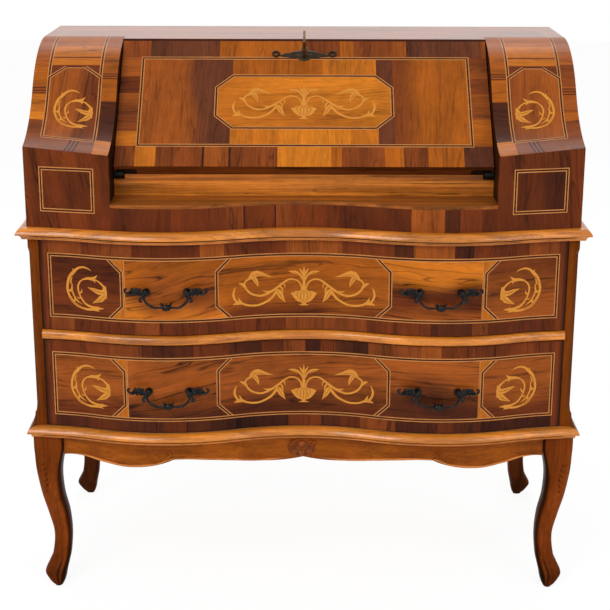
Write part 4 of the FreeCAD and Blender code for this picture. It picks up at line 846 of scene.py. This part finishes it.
# Pilasters, flanks, frieze and top.
pilasterLook = {
    "outer": 0.0265, "inner": 0.0284, "foot": 0.043, "shoulder": 0.1786, "head": 0.202, "cut": 0.0280,
    "cell": (0.012, 0.006), "flankCell": 0.012, "rim": 0.005, "shade": (0.3935, 0.1, 0.1, 0.05, 0.006),
    "flankShade": ("cherry", "sable", (0.368, 0.715), (1, 0.15), 0.035, 0.004),
    "outerBand": rowsOf(
        "0.0875 chestnut 0.6, 0.1066 honey 0.3, 0.146 orange 0.6, 0.162 hatch 0.3, 0.21 amber 0.6, "
        "0.4 rust 0.6"),
    "innerBand": rowsOf(
        "0.046 orange 0.4, 0.133 umber 0.7, 0.175 amber 0.5, 0.19 hatch 0.3, 0.255 amber 0.6, 0.4 rust 0.5"),
    "middleBand": rowsOf(
        "0.206 russet 0.5, 0.224 orange 0.4, 0.2275 russet 0.2, 0.262 orange 0.8, 0.4 amber 0.6"),
    "hatches": {"outerBand": (0.146, 0.162), "innerBand": (0.175, 0.190)}, "hatch": (3, 0.4),
    "slashes": {"at": 0.3780, "apart": 0.0066, "wide": 0.0030, "lean": 0.17},
    "wreath": (0.3870, 0.1125, 0.947, 1.06), "flank": (0.3435, 0.4295, 0.682, 0.751),
    "rightOuter": {"orange": "rust", "honey": "amber", "amber": "chestnut"},
}


def pilaster(side):
    look, right = pilasterLook, side > 0
    half, inside = desk["half"], desk["lidHalf"]
    name = "right" if right else "left"
    outerAt, innerAt = half - look["outer"], inside + look["inner"]
    foot, head, cut = look["foot"], look["head"], look["cut"]
    sides = [(side, 0, outerAt), (-side, 0, -innerAt)]
    panel = sides + [(0, -1, -foot), (0, 1, head)]
    panel += [cornerCut(side * at, head, way * side * cut, head - look["shoulder"])
              for at, way in ((outerAt, 1), (innerAt, -1))]
    bands = [look[band] for band in ("outerBand", "innerBand", "middleBand")]
    lines = edgeLines(panel) + level(stops(*bands))
    count, share = look["hatch"]
    for start, stop in look["hatches"].values():
        lines += level(start + (i + o) * (stop - start) / count for i in range(count) for o in (0, share))
    at, apart, wide = (look["slashes"][key] for key in ("at", "apart", "wide"))
    lean = -side * look["slashes"]["lean"]
    lines += [(side * at + i * apart + o * wide / 2, foot / 2, 1, -lean) for i in (-1, 0, 1) for o in (-1, 1)]
    shadeAt, shadeUp, fall, *run = look["shade"]
    dark = "chestnut" if right else "russet"
    panelWood = fade("rust", dark, (side * shadeAt, shadeUp), (-side, -fall), *run)

    def zone(u, v):
        x = abs(u)
        middle = innerAt < x < outerAt
        strings = [panel] if foot < v < head else []
        strings += [[edge] for edge in sides] if v > foot else [[(0, 1, foot)]] if middle else []
        for edges in strings:
            if string := stringAt(edges, u, v, 90 if v > foot else 0):
                return string
        if reach(panel, u, v) < 0:
            return panelWood, 86, 0.6, 9 + 4 * right
        if v < foot and middle:
            shift = u - side * at - lean * (v - foot / 2)
            near = abs(shift - apart * max(-1, min(1, round(shift / apart))))
            return "ebony" if near < wide / 2 else "chestnut", 0, 0.4, 6
        band = "outerBand" if x > outerAt else "innerBand" if x < innerAt else "middleBand"
        wood, figure, index = blockAt(look[band], v)
        if right and band == "outerBand":
            wood = look["rightOuter"].get(wood, wood)
        if wood == "hatch":
            start, stop = look["hatches"][band]
            wood = "umber" if (v - start) * count / (stop - start) % 1 < share else "rust"
        return wood, 0, figure, 20 + index + 10 * (band == "innerBand") + 30 * right

    span = sorted((side * half, side * inside))
    marquetry(name + "_pilaster_marquetry", "case", (*span, 0, crown["lowRun"] + crown["highRun"]), lines,
              zone, onSlope, *look["cell"], "polished")
    wreathAt, rise, *size = look["wreath"]
    strokes = strokesOf(leafWreath, side * wreathAt, rise, -side, *size)
    motif(name + "_pilaster_wreath", "case", strokes, onSlope)

    # Flank below the slope.
    inAt, outAt, low, high = look["flank"]
    rim = high + look["rim"]
    frameEdges = rectEdges(*sorted((side * inAt, side * outAt)), low, high)
    darkPanel = fade(*look["flankShade"])

    def flankZone(u, v):
        inner = (darkPanel, 83, 0.8, 9) if right else ("cherry", 99, 0.9, 8)
        outer = "cherry" if right else "russet", 98, 0.9, 10 + right
        return stringAt(frameEdges, u, v) or (inner if reach(frameEdges, u, v) < 0 else outer)

    def onFlankSkin(u, v):
        top = crown["outer"] + inward(u) * (crown["inner"] - crown["outer"])
        return onFlank(u, v if v < rim else rim + (v - rim) * (top - rim) / (crown["outer"] - rim))

    marquetry(name + "_flank_veneer", "case", (*span, desk["waist"], crown["outer"]),
              edgeLines(frameEdges) + level([rim]), flankZone, onFlankSkin, look["flankCell"])


for side in (-1, 1):
    pilaster(side)

friezeLook = {
    "cell": 0.009,
    "blocks": rowsOf(
        "-0.215 cherry 0.7, -0.13 russet 0.6, -0.099 chestnut 0.6, -0.0965 sable 0.2, -0.048 russet 0.7, "
        "-0.0455 ebony 0.2, -0.02 chestnut 0.9, 0.059 russet 0.8, 0.175 cherry 0.6, 0.229 rust 0.5, "
        "0.254 umber 0.8, 0.29 russet 0.6, 0.4 cherry 0.5"),
}


def friezeZone(u, v):
    wood, figure, index = blockAt(friezeLook["blocks"], u)
    return wood, 90, figure, index


marquetry("frieze_veneer", "case", (-desk["lidHalf"], desk["lidHalf"], desk["waist"], desk["ledge"]),
          upright(stops(friezeLook["blocks"])), friezeZone, onFront, friezeLook["cell"])
topLook = {"side": 0.4310, "rear": 0.2146, "tongue": 0.0385, "gap": 0.0005}
topEdges = [(-1, 0, topLook["side"]), (1, 0, topLook["side"]), (0, 1, topLook["rear"])]


def topZone(u, v):
    border = "rust", 90 if v > topLook["rear"] else 0, 0.6, 5
    return stringAt(topEdges, u, v) or (border if reach(topEdges, u, v) > 0 else tongueZone(u, v))


def tongueZone(u, v):
    return "rust", 0, 0.8, 7


tongueHalf = desk["lidHalf"] - topLook["gap"]
marquetry("top_veneer", "case", (-desk["half"], desk["half"], crown["flat"], desk["back"]),
          edgeLines(topEdges), topZone, onTop, finish="waxed")
marquetry("top_tongue_veneer", "case", (-tongueHalf, tongueHalf, topLook["tongue"], crown["flat"]), [],
          tongueZone, onTop, finish="waxed")
print("pilasters, flanks, frieze and top laid")

# Drawer handles: a cast bail with a knop, leaf ends and small scrolls, in millimetres from its pins' middle.
bailLook = {
    "places": {"upper": 0.5505, "lower": 0.377}, "apart": 0.2255, "y": -0.23778,
    "bow": rowsOf(  # point and radius
        "-33.5 0 0 0, -36 -4.5 -4 2.5, -34.8 -3 -10 2.2, -30 -2 -16.5 2.1, -21.5 -2 -22 2.1, "
        "-11 -2 -22.4 1.7, 0 -2 -22.4 2.6, 11 -2 -22.4 1.7, 21.5 -2 -22 2.1, 30 -2 -16.5 2.1, "
        "34.8 -3 -10 2.2, 36 -4.5 -4 2.5, 33.5 0 0 0"),
    "knop": (0, -2.5, -22.4, 8.6, 5.0, 6.2, 1.8, 16, 12),
    "collars": [(4.8, -2.5, -22.4, 1.3, 5.8, 6.0, 0, 14, 8), (7.68, -3, -16.4, 2.6, 2.6, 2.7, 0, 10, 8)],
    "leaf": rowsOf(  # point and half width
        "33 -6 -4 3, 39.5 -6 2 4.6, 45.5 -5 5 5.2, 51.5 -4 6 5.2, 57 -3 5.4 3.8, 61.5 -2 3.6 1.4"),
    "blades": [(0.0, 1.0, 1.0, 18, 22), (0.30, 0.26, 1.7, 10, 18), (-0.45, 0.20, 1.5, 10, 18)],
    "thick": 2.2, "wave": (0.16, 22), "rib": (0.35, 9),
    "ear": rowsOf("39 -6.5 -2.5 2.2, 36.4 -6.5 2 2.6, 33.6 -6.5 6 2, 31.4 -6.5 9.4 0"),
    "curl": rowsOf(
        "36 -5 -3 2.1, 39 -5 -5 2.2, 42 -5 -7.6 2.4, 42.4 -5 -10.4 2.2, 39.8 -5 -11.2 1.9, 38.8 -5 -8.8 0"),
    "tip": rowsOf(
        "54 -3 2 1, 58.5 -3 1.2 1.9, 63 -3 2.2 2.1, 66.4 -3 5 2.1, 67.2 -3 8.2 2, 64.8 -3 9.8 2, 63 -3 8 0"),
    "pin": rowsOf("28 0 0 0, 34 0 0 3.2, 40 0 0 0"),
    "lobes": rowsOf("42.5 8.6 2.6, 48.5 9.6 2.6, 55 9.8 2.4, 45 -0.4 2, 52 0 2"), "lobe": (1.3, -3, 2.0),
}


def bail(bm, middle):
    def spot(x, y, z):
        return middle + Vector((x, y, z)) * mm

    def rod(rows, side, around, along):
        rodInto(bm, [spot(side * x, y, z) for x, y, z, r in rows], [r * mm for x, y, z, r in rows],
                around=around, along=along)

    def oval(side, x, y, z, long, deep, high, taper, around, along):
        bud(bm, lambda p: spot(side * x + p.z * long, y + p.y * deep, z + p.x * (high - taper * abs(p.z))),
            around, along)

    rod(bailLook["bow"], 1, around=12, along=72)
    oval(1, *bailLook["knop"])
    for side in (-1, 1):
        for collar in bailLook["collars"]:
            oval(side, *collar)
    lobeLong, lobeY, lobeDeep = bailLook["lobe"]
    (wave, waves), (rib, ribs) = bailLook["wave"], bailLook["rib"]
    for side in (-1, 1):
        leaf = [spot(side * x, y, z) for x, y, z, w in bailLook["leaf"]]
        widths = [w for x, y, z, w in bailLook["leaf"]]

        def blade(p, lift, share, thick):
            t = (p.z + 1) / 2
            across = heading(leaf, t).cross(Vector((0, side, 0))).normalized()
            wide = between(widths, t) * mm * (1 + wave * math.sin(waves * t))
            ridge = 1 + rib * math.cos(ribs * p.x)
            deep = p.y * bailLook["thick"] * mm * thick * ridge
            return bentPath(leaf, t) + across * (p.x * share + lift) * wide + Vector((0, deep, 0))

        for lift, share, thick, around, along in bailLook["blades"]:
            bud(bm, lambda p: blade(p, lift, share, thick), around, along)
        for key in ("ear", "curl", "tip"):
            rod(bailLook[key], side, around=8, along=24)
        for x, z, r in bailLook["lobes"]:
            bud(bm, lambda p: spot(side * x + p.x * r * lobeLong, lobeY + p.y * lobeDeep, z + p.z * r))
        rod(bailLook["pin"], side, around=10, along=12)


for which, z in bailLook["places"].items():
    for side, way in (("left", -1), ("right", 1)):
        name, middle = f"{which}_{side}_bail", Vector((way * bailLook["apart"], bailLook["y"], z))
        shaped(name + "_casting", "bronze", lambda bm: bail(bm, middle), name, name)
print("handles cast")

# Key plate: a leaf with ringed ends.
plateLook = {
    "up": 0.2345, "half": 0.0445, "thick": 0.0030, "wire": 0.0021, "wireRise": 0.0018, "lift": 0.0003,
    "ring": (0.0487, 0.0027, 0.0050), "ringCuts": 12, "high": (0.0040, 0.0086, 1.3, 0.0006, 19),
    "low": (0.0046, 0.0022, 2, 0.0005, 17), "drop": (0.0052, 0.014, 1.5),
    "ridge": (0.70, 0.30, 9, 5), "sunk": -0.1,
}


def keyPlate(bm):
    def rimAt(f, row):
        least, more, power, wave, turns = plateLook[row]
        return least + more * (1 - f ** power) + wave * math.sin(f * turns)

    def place(p):
        x = p.z * plateLook["half"]
        f = abs(p.z)
        drop, dropHalf, power = plateLook["drop"]
        high = rimAt(f, "high")
        low = rimAt(f, "low") + drop * max(0.0, 1 - (abs(x) / dropHalf) ** power)
        rise = (high - low) / 2 + p.x * (high + low) / 2
        base, rib, across, along = plateLook["ridge"]
        ridge = base + rib * math.cos(across * p.x + along * f)
        out = plateLook["lift"] + max(plateLook["sunk"], p.y) * plateLook["thick"] * ridge
        return lifted(onLid, x, plateLook["up"] + rise, out)

    bud(bm, place, around=36, along=56)
    away, rise, radius = plateLook["ring"]
    cuts = plateLook["ringCuts"]
    for side in (-1, 1):
        path = []
        for turn in (2 * math.pi * i / cuts for i in range(cuts + 1)):
            x, v = side * away + math.cos(turn) * radius, plateLook["up"] + rise + math.sin(turn) * radius
            path.append(lifted(onLid, x, v, plateLook["wireRise"]))
        rodInto(bm, path, [plateLook["wire"]] * 2, lifted(onLid, 0, 0, 1) - onLid(0, 0), along=36)


shaped("key_plate_casting", "oldBronze", keyPlate, "lid", "key_escutcheon")
print("key plate cast")

# Carving on the apron: petals give their foot, lean, length, half width, thickness and ribs.
apronLook = {
    "inset": 0.004, "bead": 0.0020, "beadRise": 0.0005, "beadCuts": 40, "flare": 0.35, "rib": 0.22,
    "edge": rowsOf("0 0.2425, 0.0729 0.2375, 0.1547 0.2474, 0.221 0.251, 0.2528 0.2401, 0.3019 0.2355, "
                   "0.348 0.2415, 0.3789 0.2475, 0.4135 0.2475"),
    "beads": [(0.024, 0.2205, (0.0, 0.9, 1.0, 1.0, 1.0, 0.5)), (0.2225, 0.413, (0.6, 1.1, 1.0, 1.0, 0))],
    "scroll": rowsOf(  # point and radius
        "0.258 0.242 0, 0.246 0.2465 0.0016, 0.235 0.2525 0.0022, 0.2265 0.259 0.0024, "
        "0.228 0.2645 0.0022, 0.2335 0.2645 0.0019, 0.2345 0.26 0.0016, 0.231 0.2585 0"),
    "scrollRise": 0.0004,
    "scrollLeaves": rowsOf("0.242 0.254 1.15 0.013 0.0022 0.0022, 0.252 0.248 1.25 0.012 0.0022 0.0022"),
    "middle": (0.0, 0.2562, 0, 0.0178, 0.0066, 0.0062, 6),
    "leaves": rowsOf("0.008 0.2655 0.95 0.014 0.0024 0.0056, 0.0082 0.2625 1.25 0.0145 0.0025 0.0056, "
                     "0.008 0.2592 1.52 0.0135 0.0024 0.0056"),
    "lobes": [(0.0, 0.2505, 0.0068), (0.0128, 0.2522, 0.0066)], "lobe": (0.88, 0.0062, 8),
    "shell": (-0.003, 0.2595, 0.0245, 0.0150, 0.0034),
}


def onApron(x, z):
    return Vector((x, frontY(x, -apronLook["inset"]), z))


def apronEdge(x):
    x = abs(x)
    spots = apronLook["edge"]
    i = max(j for j in range(len(spots) - 1) if spots[j][0] <= x or j == 0)
    t = (x - spots[i][0]) / (spots[i + 1][0] - spots[i][0])
    return bentPath([Vector(p) for p in spots], (i + t) / (len(spots) - 1)).y


def petal(bm, at, side, x, z, lean, long, wide, thick, ribs=9):
    c, s = math.cos(side * lean), math.sin(side * lean)

    def place(p):
        a, b = p.x * wide * (1 + apronLook["flare"] * p.z), (p.z + 1) / 2 * long
        ridge = 1 + apronLook["rib"] * math.cos(ribs * p.x)
        return lifted(onApron, at + side * x + a * c + b * s, z - a * s + b * c, -p.y * thick * ridge)

    bud(bm, place, around=20, along=16)


def apronShell(bm):
    at = apronLook["shell"][0]
    petal(bm, at, 1, *apronLook["middle"])
    for side in (-1, 1):
        for leaf in apronLook["leaves"]:
            petal(bm, at, side, *leaf)
    share, thick, ribs = apronLook["lobe"]
    for x, z, size in apronLook["lobes"]:
        for side in (-1, 1) if x else (1,):
            petal(bm, at, side, x, z - size, 0, 2 * size, size * share, thick, ribs)


# A dark oval under the shell's petals, painted as the shade in the carving's hollows.
def shellShadeBacking(bm):
    at, rise, wide, tall, thick = apronLook["shell"]
    bud(bm, lambda p: lifted(onApron, at + p.x * wide, rise + p.z * tall, -p.y * thick),
        around=40, along=20)


# Beads along the apron's lower edge, painted pale as a highlight.
def apronBeads(bm):
    bead, cuts = apronLook["bead"], apronLook["beadCuts"]
    for side in (-1, 1):
        for first, last, radii in apronLook["beads"]:
            edge = [side * (first + i / cuts * (last - first)) for i in range(cuts + 1)]
            rodInto(bm, [lifted(onApron, x, apronEdge(x) + bead, apronLook["beadRise"]) for x in edge],
                    [bead * r for r in radii], along=120)


def apronScrolls(bm):
    rows = apronLook["scroll"]
    for side in (-1, 1):
        rodInto(bm, [lifted(onApron, side * x, z, apronLook["scrollRise"]) for x, z, r in rows],
                [r for x, z, r in rows], along=48)
        for leaf in apronLook["scrollLeaves"]:
            petal(bm, 0, side, *leaf)


shaped("apron_shell", "shellX", apronShell)
shaped("apron_shell_shade_backing", "walnutX", shellShadeBacking)
shaped("apron_beads", "beadX", apronBeads)
shaped("apron_scrolls", "apronX", apronScrolls)
print("apron carved")

# Legs: squared at the block, rounder towards a fluted hoof, with a leaf on the knee of the front pair.
legLook = {  # stations: height, then face and width across, face and depth in millimetres, and squareness
    "stations": rowsOf(
        "0 -17 15 9.5 38 2.6, 5 -11.5 23 12 43 2.6, 12 -5 31.5 11 45 2.7, 21 0.5 38.5 7 44 2.8, "
        "34 -5 36 -2.5 38 3, 50 -12 32.3 -11 33 3.2, 88 -15.7 31.3 -15.7 32 3.2, 128 -9 36 -9 36 3.4, "
        "170 -0.3 38 -0.3 38 3.6, 215 5.8 43 5.8 43 4.5, 254 7 50.5 7 50.5 10, 262 7 51 7 51 16, "
        "283 7 51 7 51 16"),
    "rows": 150, "capRows": 3, "around": 88, "blockOut": 0.007,
    "hoof": 0.050, "flute": 0.0022, "fluteAt": 0.34, "fluteWide": 0.12,
    "knee": (0.176, 0.236), "leaf": 0.0026, "leafAt": 0.34, "leafWide": 0.34, "lobe": 0.0105,
    "ribs": (0.55, 0.45, 6),
}


def stationAt(z, column):  # a smooth curve through one column of the stations
    rows = legLook["stations"]
    i = max(j for j in range(len(rows) - 1) if rows[j][0] <= z or j == 0)
    (z0, a), (z1, b) = ((rows[j][0], rows[j][column]) for j in (i, i + 1))

    def slope(j):
        if j in (0, len(rows) - 1):
            return 0
        return (rows[j + 1][column] - rows[j - 1][column]) / (rows[j + 1][0] - rows[j - 1][0])

    t = (z - z0) / (z1 - z0)
    return (a * (1 + 2 * t) * (1 - t) ** 2 + slope(i) * (z1 - z0) * t * (1 - t) ** 2
            + b * t * t * (3 - 2 * t) + slope(i + 1) * (z1 - z0) * t * t * (t - 1))


def carvedOut(turn, z):  # flutes of the hoof and the leaf on the knee
    out = 0.0
    if z < legLook["hoof"]:
        grooves = sum(math.exp(-((turn + math.pi / 2 - way * legLook["fluteAt"]) / legLook["fluteWide"]) ** 2)
                      for way in (-1, 1))
        out -= legLook["flute"] * math.sin(math.pi * z / legLook["hoof"]) * grooves
    low, high = legLook["knee"]
    if low < z < high:
        away = abs(turn + math.pi * 3 / 4 - legLook["leafAt"])
        wide = legLook["leafWide"] * math.sin(math.pi * (z - low) / (high - low)) ** 0.5
        if away < wide:
            base, rib, slant = legLook["ribs"]
            ridge = base + rib * math.cos(2 * math.pi * z / legLook["lobe"] - slant * away)
            out += legLook["leaf"] * (1 - (away / wide) ** 2) ** 0.5 * ridge
    return out


def leg(bm, side, front):
    rows, cap = legLook["rows"], legLook["capRows"]

    def place(t, s):
        row = t * rows
        z = min(max((row - cap) / (rows - 2 * cap), 0), 1) * legLook["stations"][-1][0]
        fill = min(row / cap, 1, (rows - row) / cap)
        outX, wide, outY, deep, square = (stationAt(z, column) for column in (1, 2, 3, 4, 5))
        if not front:
            outY, deep = outX, wide
        turn = math.pi * s
        c, k = math.cos(turn), math.sin(turn)
        rim = fill * (mm / 2) / (abs(c) ** square + abs(k) ** square) ** (1 / square)
        spot = Vector((c * rim * wide, k * rim * deep, 0))
        if front:
            spot += Vector((c, k, 0)) * carvedOut(turn, z * mm) * fill
        x = -desk["half"] - (outX - wide / 2) * mm + spot.x
        y = desk["front"] - (outY - deep / 2) * mm + spot.y
        if not front:
            y = desk["back"] + desk["front"] - legLook["blockOut"] - y
        return Vector((-side * x, y, z * mm))

    sheetGrid(bm, rows, legLook["around"], place)


for side, sideName in ((-1, "left"), (1, "right")):
    for end, finish in (("front", "legZ"), ("rear", "rearLegZ")):
        name = f"{end}_{sideName}_leg"
        shaped(name + "_carved", finish, lambda bm: leg(bm, side, end == "front"), "case", name)
print("legs carved")

# Fillets in a pale finish painted as a highlight, and dark rods painted as the shadow in the quirks, along
# the front mouldings: distance out, height, radius and finish.
mouldingRuns = {
    "waist_fillet": (0.0080, 0.6333, 0.0015, "beadX"), "waist_quirk_shadow": (0.0105, 0.6376, 0.0009, "shadeZ"),
    "base_fillet": (0.0088, 0.2842, 0.0017, "beadX"), "base_quirk_shadow": (0.0102, 0.2879, 0.0010, "shadeZ"),
}
runCuts = 60


def mouldingRun(bm, distance, z, radius):
    places = [desk["half"] * i / runCuts for i in range(-runCuts, runCuts + 1)]
    radii = [0.0] + [radius] * (runCuts - 1) + [0.0]
    rodInto(bm, [Vector((x, frontY(x, distance), z)) for x in places], radii, (0, 0, 1), along=240)


for name, (*run, finish) in mouldingRuns.items():
    shaped(name, finish, lambda bm: mouldingRun(bm, *run))
print("mouldings run")

# Camera, light and floor.
scene = bpy.context.scene
view = {"place": (0.0047, -2.5522, 1.2337), "down": 0.294, "turn": 0.0017, "roll": -0.0023,
        "lens": 86.99, "sensor": 36}
camera = bpy.data.objects.new("camera", bpy.data.cameras.new("camera"))
camera.data.lens, camera.data.sensor_width = view["lens"], view["sensor"]
camera.data.sensor_fit = "HORIZONTAL"
camera.location = view["place"]
camera.rotation_euler = (math.pi / 2 - view["down"], view["roll"], view["turn"])
scene.collection.objects.link(camera)
scene.camera = camera
scene.view_settings.view_transform = "Standard"
lamps = {  # place, aim, size and power
    "soft_key": ((-1.5, -2.4, 2.7), (0, -0.1, 0.55), (1.8, 1.4), 46),
    "soft_fill": ((2.0, -2.2, 1.8), (0, -0.1, 0.5), (1.6, 1.6), 20),
    "back_glow": ((0.0, 1.9, 2.9), (0, 0.1, 0.93), (2.4, 1.0), 22),
}
for name, (place, aim, size, energy) in lamps.items():
    light = bpy.data.lights.new(name, "AREA")
    light.shape, light.size, light.size_y, light.energy = "RECTANGLE", *size, energy
    holder = bpy.data.objects.new(name, light)
    holder.location = place
    holder.rotation_euler = (Vector(aim) - Vector(place)).to_track_quat("-Z", "Y").to_euler()
    scene.collection.objects.link(holder)


def seenRays(start):  # 1 where the camera, a reflection or glass looks
    rays = seen = start.node("LightPath")
    for name in ("Is Glossy Ray", "Is Transmission Ray"):
        seen = start.sum("MAXIMUM", seen, rays.other(name))
    return seen


world = bpy.data.worlds.new("studio")
world.use_nodes = True
scene.world = world
sky = Flow(world.node_tree)
skyLook = {"colour": (1, 1, 1, 1), "always": 0.5, "seen": 0.5}
plug(sky, world.node_tree.nodes["Background"], Color=skyLook["colour"],
     Strength=seenRays(sky) * skyLook["seen"] + skyLook["always"])
floorLook = {"half": 8, "cuts": 8, "colour": (0.92, 0.92, 0.92, 1), "rough": 0.9, "glow": 1.06, "share": 0.85}


def studioFloor():
    bm = bmesh.new()
    half, cuts = floorLook["half"], floorLook["cuts"]
    sheetGrid(bm, cuts, cuts, lambda t, s: Vector(((t - 0.5) * 2 * half, s * half, 0)))
    mesh = bpy.data.meshes.new("studio_floor")
    bm.to_mesh(mesh)
    bm.free()
    finish, start, shader = newFinish("pale_floor")
    plug(start, shader, Base_Color=floorLook["colour"], Roughness=floorLook["rough"])
    glow = start.node("Emission", None, {"Color": (1, 1, 1, 1), "Strength": floorLook["glow"]})
    mixed = start.node("MixShader", None, {
        0: seenRays(start) * floorLook["share"], 1: Flow(start.tree, shader.outputs[0]), 2: glow})
    start.feed(mixed, start.tree.nodes["Material Output"].inputs["Surface"])
    mesh.materials.append(finish)
    floor = bpy.data.objects.new("studio_floor", mesh)
    scene.collection.objects.link(floor)


studioFloor()
print("stage set")
